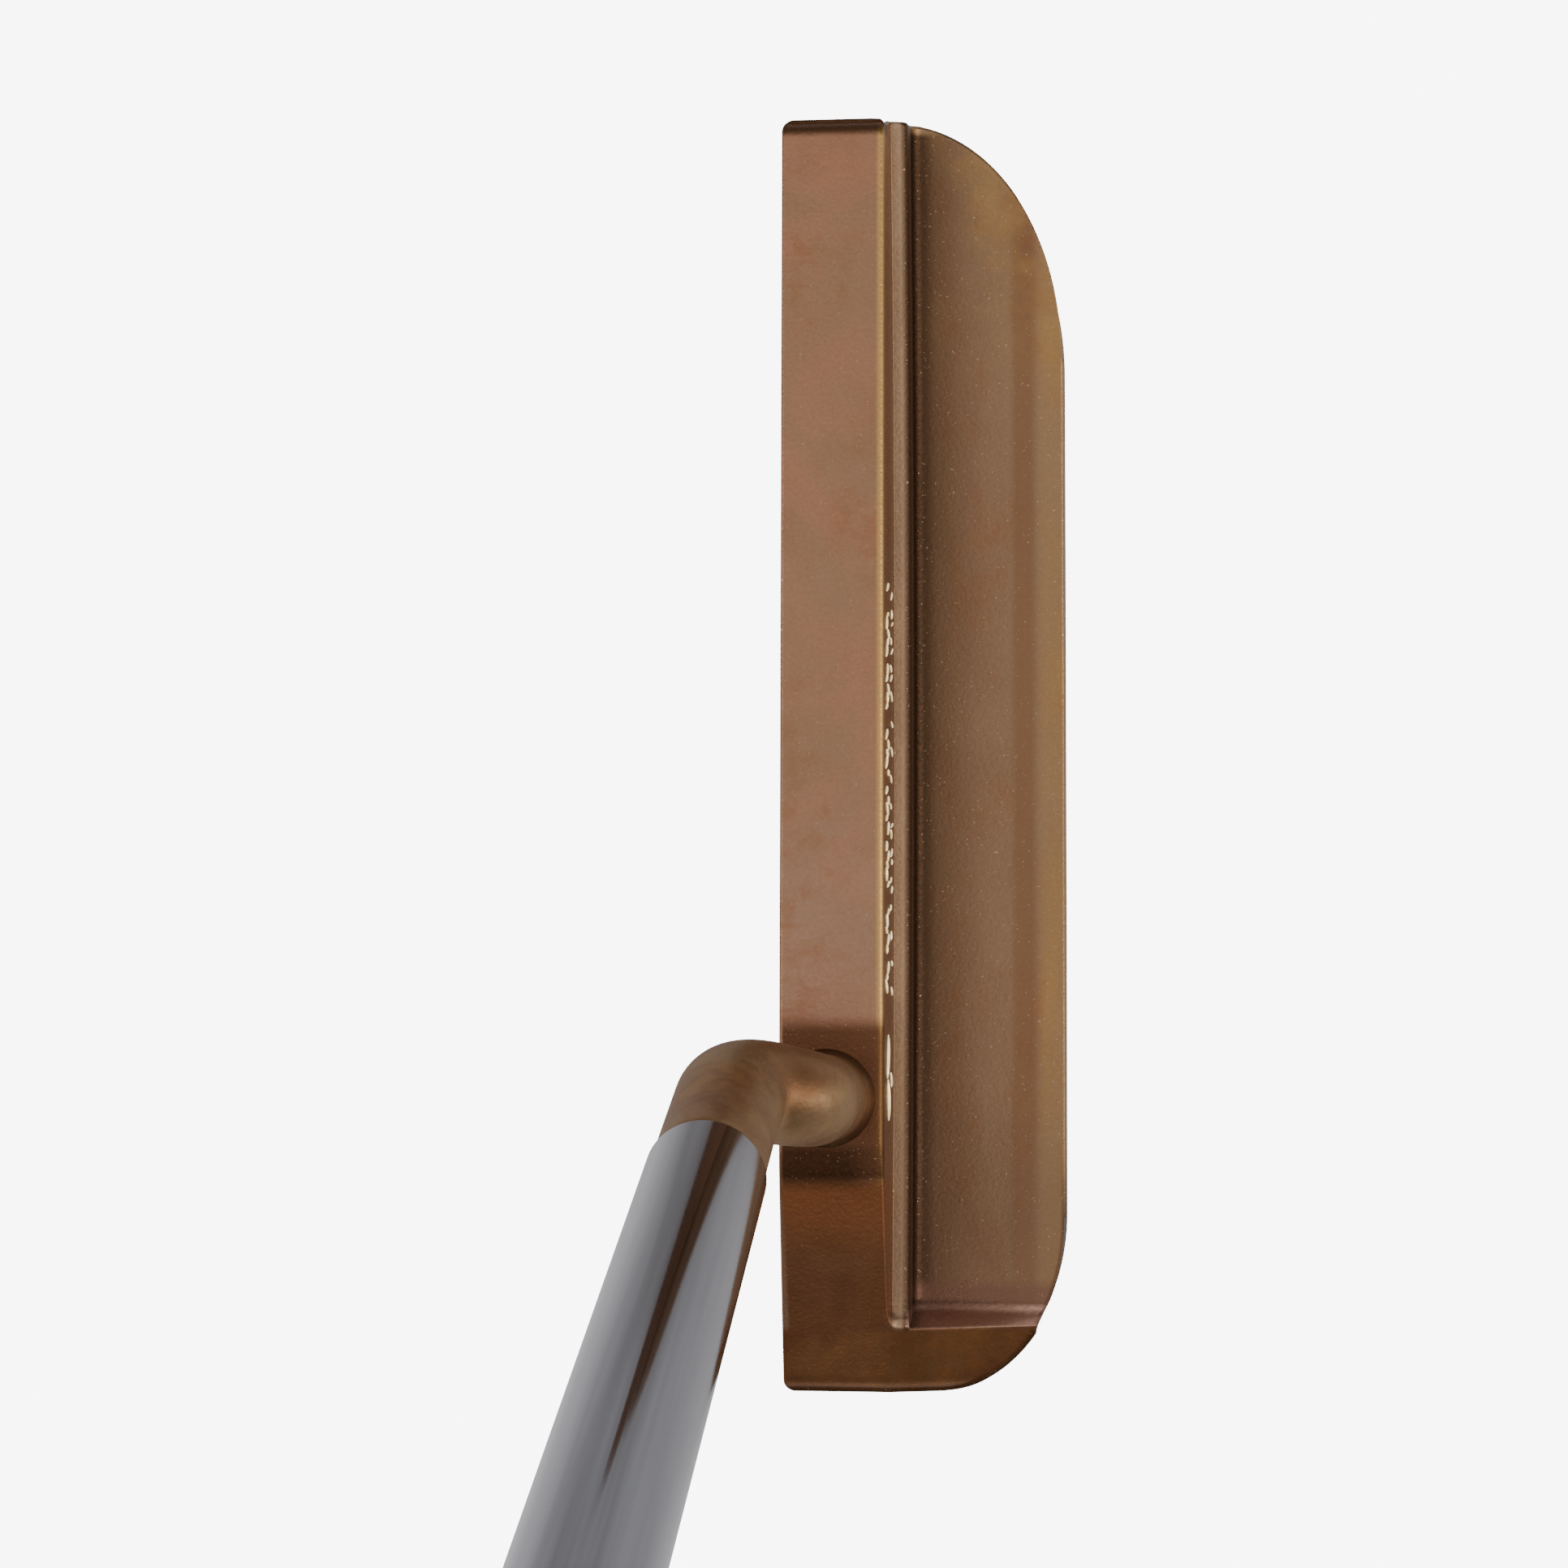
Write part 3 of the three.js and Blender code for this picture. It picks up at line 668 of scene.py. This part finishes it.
# ---------------------------------------------------------------- materials
class Value:
    """A socket that takes Python arithmetic; each operation adds a Math node."""

    def __init__(self, paint, socket):
        self.paint, self.socket = paint, socket

    def maths(self, operation, *others):
        return self.paint.node("ShaderNodeMath", {"operation": operation}, [self, *others])

    def __add__(self, other):
        return self.maths("ADD", other)

    __radd__ = __add__

    def __mul__(self, other):
        return self.maths("MULTIPLY", other)

    __rmul__ = __mul__

    def __sub__(self, other):
        return self.maths("SUBTRACT", other)

    def __rsub__(self, other):
        return self.paint.node("ShaderNodeMath", {"operation": "SUBTRACT"}, [other, self])

    def clamped(self):
        return self.paint.node("ShaderNodeClamp", {}, [self, 0.0, 1.0])


class Nodes:
    """The nodes of one tree, made from Python expressions."""

    def __init__(self, tree, coordinates):
        self.tree = tree
        self.place = self.node("ShaderNodeTexCoord", {}, [], output=coordinates)

    def connect(self, target, value):
        if isinstance(value, Value):
            self.tree.links.new(value.socket, target)
        elif value is not None:
            target.default_value = value

    def node(self, kind, settings, inputs, output=0):
        """Adds a node, makes its settings, then feeds its sockets from values or links."""
        made = self.tree.nodes.new(kind)
        for key, value in settings.items():
            if key == "stops":
                ramp = made.color_ramp
                while len(ramp.elements) < len(value):
                    ramp.elements.new(0.5)
                for element, (where, shade) in zip(ramp.elements, value):
                    element.position, element.color = where, (*shade, 1.0)
            else:
                setattr(made, key, value)
        pairs = inputs.items() if isinstance(inputs, dict) else enumerate(inputs)
        for key, value in pairs:
            self.connect(made.inputs[key], value)
        return Value(self, made.outputs[output])

    def noise(self, scale, detail=3.0, roughness=0.5, place=None, **more):
        inputs = {"Vector": place or self.place, "Scale": scale, "Detail": detail}
        return self.node("ShaderNodeTexNoise", {}, {**inputs, "Roughness": roughness, **more}, output="Fac")

    def stretched(self, scale, location=(0.0, 0.0, 0.0)):
        inputs = {"Vector": self.place, "Location": location, "Scale": scale}
        return self.node("ShaderNodeMapping", {"vector_type": "POINT"}, inputs, output="Vector")

    def along(self, axis):
        """One coordinate of the object's own space, in metres."""
        return self.node("ShaderNodeSeparateXYZ", {}, [self.place], output=axis)

    def ramp(self, value, low, high, to_low=0.0, to_high=1.0):
        """Smooth change from one value to another as the input goes from low to high."""
        return self.node(
            "ShaderNodeMapRange", {"interpolation_type": "SMOOTHSTEP"}, [value, low, high, to_low, to_high]
        )

    def mix(self, factor, a, b, blend="MIX"):
        settings = {"data_type": "RGBA", "blend_type": blend}
        a, b = ((*c, 1.0) if isinstance(c, tuple) else c for c in (a, b))
        return self.node("ShaderNodeMix", settings, {0: factor, 6: a, 7: b}, output=2)

    def bump(self, height, strength, distance, normal=None):
        inputs = {"Strength": strength, "Distance": distance, "Height": height}
        if normal is not None:
            inputs["Normal"] = normal
        return self.node("ShaderNodeBump", {}, inputs)


class Paint(Nodes):
    """One material and the nodes that drive its surface."""

    def __init__(self, name):
        self.material = bpy.data.materials.new(name)
        self.material.use_nodes = True
        super().__init__(self.material.node_tree, "Object")
        self.shader = next(n for n in self.tree.nodes if n.type == "BSDF_PRINCIPLED")

    def finish(self, **sockets):
        for name, value in sockets.items():
            self.connect(self.shader.inputs[name.replace("_", " ")], value)
        return self.material


def tone(values, scale=1.0):
    return tuple(float(v) * scale for v in values)


class HeadPaint(Paint):
    """Bead-blasted bronze. Each method lays one part of the patina, with its painted highlights and shade,
    over the tone so far, at places given in millimetres in the frame's axes."""

    def __init__(self, finishes):
        super().__init__("bronze_patina")
        shades = (tone(getattr(finishes, key)) for key in ("rosy", "olive", "gold", "brown"))
        self.rosy, self.olive, self.gold, self.brown = shades
        self.x, self.y, self.z = (self.along(axis) for axis in "XYZ")
        drawn_out = self.stretched((1.0, 0.4, 1.0))
        self.clouds = self.ramp(self.noise(70.0, 5.0, 0.62, Distortion=0.8), 0.36, 0.64)
        self.smears = self.ramp(self.noise(150.0, 5.0, 0.6, drawn_out, Distortion=0.4), 0.38, 0.68)
        self.spots = self.ramp(self.noise(420.0, 4.0, 0.65), 0.42, 0.70)
        self.patches = self.ramp(self.noise(110.0, 4.0, 0.6), 0.40, 0.62)
        self.flange = self.fade(self.x, -3.0, -2.4)
        self.within = self.fade(self.z, 5.0, 6.5) * self.fade(self.y, 60.7, 60.0)
        self.shelf = self.fade(self.y, -52.6, -53.2)
        self.base = self.mix(self.clouds * 0.75, self.rosy, self.olive)

    def fade(self, value, start, full, low=0.0, high=1.0):
        """A mask that rises along a coordinate from one place to another, in millimetres."""
        return self.ramp(value, start * MM, full * MM, low, high)

    def lay(self, share, shade):
        self.base = self.mix(share, self.base, shade)

    def main_tones(self):
        """Lilac towards the neck, duller and browner on the flange, and small burnt smears."""
        lilac = self.fade(self.y, 4.0, -20.0) * (0.35 + self.smears * 0.5)
        self.lay(lilac * 0.7, (0.44, 0.250, 0.170))
        low = self.mix(self.smears * 0.55, tone(self.olive, 0.98), (0.29, 0.150, 0.085))
        self.lay(self.flange, low)
        self.lay(self.smears * self.spots * 0.45, tone(self.brown, 1.25))

    def worn_gold(self):
        """A brown band along the crease, and gold on the back edge, the toe and the wall's top edge."""
        band = self.fade(self.x, 8.0, 9.0) * self.fade(self.x, 11.2, 10.0)
        self.lay(band * 0.65, (0.225, 0.105, 0.050))
        back_edge = self.fade(self.x, 10.4, 11.8) * (0.2 + self.smears * 0.3)
        toe = self.fade(self.y, 34.0, 54.0) * self.flange * self.patches
        self.lay((back_edge + toe * 0.5).clamped(), self.gold)
        bead = self.fade(self.x, -3.7, -3.2) * self.fade(self.x, -2.6, -2.8) * self.fade(self.z, 23.5, 24.5)
        self.lay(bead * 0.9, tone(self.gold, 1.45))

    def flange_root_shade(self, riser):
        """Painted shade where the flange meets the ledge, and duller towards the heel."""
        # Painted shade in the corner at the flange's root
        root = self.fade(self.x, 7.0, -1.2) * self.flange * self.within * (1.0 - riser * 0.5)
        self.lay(root * 0.8, (0.125, 0.068, 0.036))
        heel_end = self.fade(self.y, -26.0, -46.0) * self.flange
        self.lay(heel_end * (0.42 + self.smears * 0.25), (0.180, 0.102, 0.060))

    def ledge(self, riser):
        """The ledge has a painted highlight on top and painted shade over its brow."""
        under_wall = self.fade(self.z, 23.6, 22.8)
        # Painted highlight along the top of the ledge
        top = self.fade(self.x, -2.8, -2.2) * self.fade(self.x, -1.2, -1.8) * under_wall
        top = top * self.fade(self.y, -55.0, -10.0, 0.55, 0.95) * (1.0 - self.shelf) * self.within
        self.lay(top * (0.75 + self.smears * 0.2), (0.60, 0.385, 0.235))
        # Painted shade over the ledge's brow
        brow = self.fade(self.x, -1.8, -1.2) * self.fade(self.x, 1.2, -0.4) * under_wall
        self.lay(brow * self.within * (0.85 - riser * 0.4), (0.045, 0.023, 0.012))

    def pocket_end(self):
        """The end wall of the cut-out, with painted shade at its round foot and rosy above it."""
        pocket = self.fade(self.x, -1.6, 0.4)
        # Painted shade at the round foot of the cut-out's end wall
        self.lay(self.fade(self.y, -48.4, -49.8) * pocket * 0.75, (0.20, 0.100, 0.068))
        wall = self.fade(self.y, -50.8, -51.5) * self.fade(self.y, -52.9, -52.5) * pocket
        self.lay(wall * 0.95, (0.95, 0.56, 0.42))

    def heel_tone_and_shade(self, topside):
        """The heel is darker brown, partly its own tone and partly painted shade on the slope behind the
        neck; mottled, and orange where it begins.
        """
        heel = self.fade(self.y, -37.6, -39.8) * topside
        # The heel's darker brown is partly its tone and partly painted shade on its falling slope and shelf
        burnt = (heel + self.shelf).clamped()
        self.lay(burnt * (0.75 + self.clouds * 0.2), tone(self.brown, 0.95))
        self.lay(self.shelf * self.patches * 0.35, (0.50, 0.23, 0.07))
        self.lay(burnt * self.smears * 0.45, (0.120, 0.050, 0.024))
        self.lay(burnt * self.patches * self.spots * 0.5, (0.24, 0.130, 0.060))
        self.lay(heel * (1.0 - self.fade(self.y, -41.0, -47.0)) * 0.45, (0.50, 0.17, 0.06))

    def stains(self, topside):
        """Painted shadow round the neck's foot, a dark line on the rim of the heel corner, and painted
        shade on the toe's edge.
        """
        near_top = topside * self.fade(self.z, 22.5, 23.8)
        # Painted shadow of the neck on the topline round its foot
        neck_foot_shadow = self.fade(self.y, -39.0, -38.2) * self.fade(self.y, -23.6, -25.4) * near_top
        self.lay(neck_foot_shadow * 0.86, tone(self.brown, 0.42))
        along_x, along_y = HeadShape.HEEL_CORNER
        centre_x, centre_y = float(HEAD_HIGH[0]) - along_x, float(HEAD_LOW[1]) + along_y
        out_x = ((self.x - centre_x * MM) * (1.0 / (along_x * MM))).maths("MAXIMUM", 0.0)
        out_y = ((self.y - centre_y * MM) * (-1.0 / (along_y * MM))).maths("MAXIMUM", 0.0)
        # A dark line along the rim of the heel corner
        rim = self.ramp(out_x * out_x + out_y * out_y, 0.90, 0.975) * self.fade(self.y, -36.0, -44.0)
        self.lay(rim * 0.75, (0.045, 0.020, 0.010))
        # Painted shadow under the neck, strongest towards the face
        under_neck_shadow = self.fade(self.y, -35.0, -36.4) * self.fade(self.y, -40.2, -38.4) * near_top
        under_neck_shadow = under_neck_shadow * self.fade(self.x, -3.0, -6.5, 0.35, 1.0)
        self.lay(under_neck_shadow * 0.8, tone(self.brown, 0.12))
        # Painted shade where the top rolls over at the toe
        toe_roll_shade = self.fade(self.y, 57.2, 58.4) * self.fade(self.z, 21.5, 23.0)
        self.lay(toe_roll_shade * 0.9, tone(self.brown, 0.4))

    def grained(self):
        """A fine grain of pits and bright points over everything, which ends the material."""
        points = self.ramp(self.noise(4200.0, 1.0), 0.70, 0.77)
        self.lay(points * 0.35, (0.75, 0.52, 0.32))
        grain = self.noise(2600.0, 2.0, 0.6)
        self.lay(self.ramp(grain, 0.35, 0.65) * 0.12, tone(self.brown, 0.8))
        rough = self.noise(140.0, 4.0) * 0.14 + 0.36 - points * 0.15
        normal = self.bump(grain, 0.35, 0.00012)
        return self.finish(Base_Color=self.base, Roughness=rough, Metallic=0.94, Normal=normal)


def patina(finishes):
    """The whole patina of the head with its painted highlights and shade, from its main tones to its grain.
    """
    paint = HeadPaint(finishes)
    to_heel, to_toe = HEEL_RISE / HEAD_LOW[1] ** 2 / MM, TOE_RISE / HEAD_HIGH[1] ** 2 / MM
    bend = paint.fade(paint.y, -0.1, 0.1, float(to_heel), float(to_toe))
    level = paint.z - paint.y * paint.y * bend
    riser = paint.fade(level, 9.4, 10.8) * paint.fade(level, 13.8, 13.0)
    topside = paint.fade(paint.x, -12.4, -11.9) * (1.0 - paint.flange)
    paint.main_tones()
    paint.worn_gold()
    paint.flange_root_shade(riser)
    paint.ledge(riser)
    paint.pocket_end()
    paint.heel_tone_and_shade(topside)
    # Painted shadow round the neck's foot, a dark rim line at the heel corner and painted shade on the
    # toe's edge
    paint.stains(topside)
    return paint.grained()


def neck_patina(finishes):
    """The same bronze, duller: an olive-brown satin with browner clouds and pale rubs."""
    paint = Paint("neck_patina")
    olive, gold, brown = (tone(getattr(finishes, key)) for key in ("neck", "gold", "brown"))
    clouds = paint.ramp(paint.noise(130.0, 4.0, 0.55, Distortion=0.6), 0.36, 0.66)
    base = paint.mix(clouds * 0.6, olive, tone(brown, 0.9))
    rubs = paint.ramp(paint.noise(260.0, 3.0), 0.54, 0.72)
    base = paint.mix(rubs * 0.3, base, gold)
    stains = paint.ramp(paint.noise(190.0, 5.0, 0.6, Distortion=0.5), 0.46, 0.66)
    base = paint.mix(stains * 0.45, base, tone(brown, 0.7))
    rough = paint.noise(200.0, 3.0) * 0.14 + 0.42
    normal = paint.bump(paint.noise(2400.0, 2.0), 0.3, 0.0001)
    return paint.finish(Base_Color=base, Roughness=rough, Metallic=0.94, Normal=normal)


def bright_cut(finishes):
    """Freshly cut bronze, which glows a little through emission: a painted highlight in every stroke."""
    paint = Paint("bright_cut")
    glint = paint.ramp(paint.noise(900.0, 2.0), 0.35, 0.7)
    base = paint.mix(glint, (0.90, 0.66, 0.30), (1.0, 0.86, 0.55))
    rough = glint * 0.1 + 0.15
    # The emission is a painted glow standing in for light caught by the strokes
    return paint.finish(
        Base_Color=base, Roughness=rough, Metallic=1.0, Emission_Color=base, Emission_Strength=1.3
    )


def chrome(finishes):
    """Mirror plate with draw lines along it and a breath of haze. Low on the shaft its colour is painted
    darker, with painted reflection stripes down both sides; higher up it clears to bright plate."""
    paint = Paint("chrome_plate")
    haze = paint.noise(70.0, 4.0)
    lines = paint.noise(900.0, 2.0, 0.5, paint.stretched((1.0, 0.02, 0.02)))
    side = (paint.along("X") - float(GROUND[0]) * MM) * (1.0 / 0.0049)
    # Painted reflection stripes down both sides of the shaft, light on one side and dim on the other
    painted_sheen = paint.ramp(side, -0.95, -0.10, 0.85, 0.06) + paint.ramp(side, 0.30, 1.0, 0.0, 0.22)
    painted_sheen = (painted_sheen + (lines - 0.5) * 0.45).clamped()
    # The chrome tone, scaled darker and lighter, carries these painted reflections
    base = paint.mix(painted_sheen, tone(finishes.chrome, 0.66), tone(finishes.chrome, 2.6))
    # Painted darker reflections low on the shaft, turning to bright plate higher up
    base = paint.mix(paint.ramp(paint.along("Z"), 0.130, 0.200), base, (0.80, 0.80, 0.82))
    normal = paint.bump(lines, 0.03, 0.00002)
    return paint.finish(Base_Color=base, Roughness=haze * 0.06 + 0.07, Metallic=1.0, Normal=normal)


def rubber(name, finishes, scale):
    """Moulded rubber: near black, with dusty patches and a fine pebble."""
    paint = Paint(name)
    dust = paint.ramp(paint.noise(90.0, 4.0, 0.6), 0.45, 0.8)
    base = paint.mix(dust * 0.35, tone(finishes.rubber, scale), (0.06, 0.06, 0.062))
    rough = paint.noise(400.0, 3.0) * 0.2 + 0.6
    normal = paint.bump(paint.noise(1800.0, 2.0), 0.25, 0.0001)
    return paint.finish(Base_Color=base, Roughness=rough, Metallic=0.0, Normal=normal)


def plain_inner(name, shade, metallic, rough):
    """Finish of a hidden inner piece, a little uneven."""
    paint = Paint(name)
    spots = paint.noise(300.0, 3.0)
    base = paint.mix(spots, tone(shade), tone(shade, 0.8))
    return paint.finish(Base_Color=base, Roughness=spots * 0.2 + rough, Metallic=metallic)


# ---------------------------------------------------------------- operators
class PUTTER_OT_head(bpy.types.Operator):
    """Makes the milled head and the strokes cut in its wall"""

    bl_idname = "putter.head"
    bl_label = "Head"

    def execute(self, context):
        sizes, finishes = context.scene.putter_head, context.scene.putter_finishes
        blade_head(sizes, patina(finishes))
        wall_strokes(sizes, bright_cut(finishes))
        return {"FINISHED"}


class PUTTER_OT_neck(bpy.types.Operator):
    """Makes the flow neck"""

    bl_idname = "putter.neck"
    bl_label = "Neck"

    def execute(self, context):
        bent_neck(context.scene.putter_shaft, neck_patina(context.scene.putter_finishes))
        return {"FINISHED"}


class PUTTER_OT_shaft(bpy.types.Operator):
    """Makes the stepped steel shaft"""

    bl_idname = "putter.shaft"
    bl_label = "Shaft"

    def execute(self, context):
        steel_shaft(context.scene.putter_shaft, chrome(context.scene.putter_finishes))
        return {"FINISHED"}


class PUTTER_OT_grip(bpy.types.Operator):
    """Makes the pistol grip and its cap"""

    bl_idname = "putter.grip"
    bl_label = "Grip"

    def execute(self, context):
        finishes = context.scene.putter_finishes
        moulded_grip(rubber("grip_rubber", finishes, 1.0))
        grip_cap(rubber("cap_rubber", finishes, 1.6))
        return {"FINISHED"}


class PUTTER_OT_inner(bpy.types.Operator):
    """Gives the hidden pieces of the frame their finishes"""

    bl_idname = "putter.inner"
    bl_label = "Inner pieces"

    def execute(self, context):
        looks = {
            "neck_braze": ("braze_metal", (0.52, 0.40, 0.20), 0.9, 0.4),
            "shaft_bond": ("cured_epoxy", (0.70, 0.60, 0.36), 0.0, 0.3),
            "grip_tape": ("grip_tape_paper", (0.80, 0.76, 0.64), 0.0, 0.6),
        }
        for node, look in looks.items():
            mesh = frame["nodes"][node].data
            mesh.materials.clear()
            mesh.materials.append(plain_inner(*look))
        return {"FINISHED"}


class PUTTER_OT_stage(bpy.types.Operator):
    """Lays the pale floor and sets the soft lights and the camera"""

    bl_idname = "putter.stage"
    bl_label = "Stage"

    def execute(self, context):
        floor()
        studio_light()
        camera()
        return {"FINISHED"}


PALE = 8.0


def floor():
    """A wide pale sheet under the sole, which glows only where it is seen directly."""
    half = 4.0
    corners = [(-half, -half, 0), (half, -half, 0), (half, half, 0), (-half, half, 0)]
    mesh = bpy.data.meshes.new("floor")
    mesh.from_pydata(corners, [], [(0, 1, 2, 3)])
    paint = Paint("pale_floor")
    shade = paint.mix(paint.noise(3.0) * 0.2, (0.90, 0.90, 0.90), (0.87, 0.87, 0.87))
    seen = paint.node("ShaderNodeLightPath", {}, [], output="Is Camera Ray")
    glow = paint.mix(seen, (0.0, 0.0, 0.0), (1.0, 1.0, 1.0))
    mesh.materials.append(
        paint.finish(Base_Color=shade, Roughness=0.9, Emission_Color=glow, Emission_Strength=PALE - 0.5)
    )
    thing = bpy.data.objects.new("floor", mesh)
    bpy.context.scene.collection.objects.link(thing)


def softbox(name, place, aim, size, power):
    light = bpy.data.lights.new(name, "AREA")
    light.shape = "RECTANGLE"
    light.size, light.size_y = size
    light.energy = power
    thing = bpy.data.objects.new(name, light)
    thing.location = place
    thing.rotation_euler = (Vector(place) - Vector(aim)).to_track_quat("Z", "Y").to_euler()
    thing.visible_camera = False
    bpy.context.scene.collection.objects.link(thing)


def studio_light():
    """A bright ceiling over dark walls, which shape the metal, and a long softbox on the right.
    Seen directly, the walls are as pale as the floor."""
    world = bpy.data.worlds.new("studio")
    bpy.context.scene.world = world
    world.use_nodes = True
    nodes = Nodes(world.node_tree, "Generated")
    greys = ((0.0, 0.16), (0.5, 0.16), (0.66, 0.30), (0.84, 0.86), (1.0, 1.0))
    stops = [(where, (grey, grey, grey)) for where, grey in greys]
    sky = nodes.node("ShaderNodeValToRGB", {"stops": stops}, [nodes.along("Z")])
    seen = nodes.node("ShaderNodeLightPath", {}, [], output="Is Camera Ray")
    backdrop = next(n for n in world.node_tree.nodes if n.type == "BACKGROUND")
    nodes.connect(backdrop.inputs["Color"], nodes.mix(seen, sky, (PALE,) * 3))
    softbox("right_softbox", (1.3, -0.1, 0.6), (0, 0, 0), (0.4, 1.2), 7)
    softbox("left_softbox", (-1.3, 0.1, 0.9), (0, 0, 0), (0.5, 1.2), 4.5)


def camera():
    """Looks down on the head from above its back edge, on the golfer's side."""
    data = bpy.data.cameras.new("camera")
    data.sensor_width = 36.0
    data.lens = 74.53
    data.clip_start, data.clip_end = 0.01, 20.0
    thing = bpy.data.objects.new("camera", data)
    thing.location = (0.0182, -0.02275, 0.31987)
    thing.rotation_euler = tuple(math.radians(a) for a in (3.8833, 5.834, 0.1673))
    bpy.context.scene.collection.objects.link(thing)
    bpy.context.scene.camera = thing


class PUTTER_PT_panel(bpy.types.Panel):
    """Lists the pieces of the putter in the sidebar"""

    bl_idname = "PUTTER_PT_panel"
    bl_label = "Putter"
    bl_space_type = "VIEW_3D"
    bl_region_type = "UI"
    bl_category = "Putter"

    def draw(self, context):
        for operator in OPERATORS:
            self.layout.operator(operator.bl_idname)


OPERATORS = (
    PUTTER_OT_head,
    PUTTER_OT_neck,
    PUTTER_OT_shaft,
    PUTTER_OT_grip,
    PUTTER_OT_inner,
    PUTTER_OT_stage,
)
CLASSES = (HeadSizes, ShaftSizes, Finishes, *OPERATORS, PUTTER_PT_panel)
SETTINGS = {"putter_head": HeadSizes, "putter_shaft": ShaftSizes, "putter_finishes": Finishes}


def register():
    for item in CLASSES:
        bpy.utils.register_class(item)
    for name, group in SETTINGS.items():
        setattr(bpy.types.Scene, name, bpy.props.PointerProperty(type=group))


def unregister():
    for name in SETTINGS:
        delattr(bpy.types.Scene, name)
    for item in reversed(CLASSES):
        bpy.utils.unregister_class(item)


def main():
    register()
    for step in ("head", "neck", "shaft", "grip", "inner", "stage"):
        getattr(bpy.ops.putter, step)()


if __name__ == "__main__":
    main()
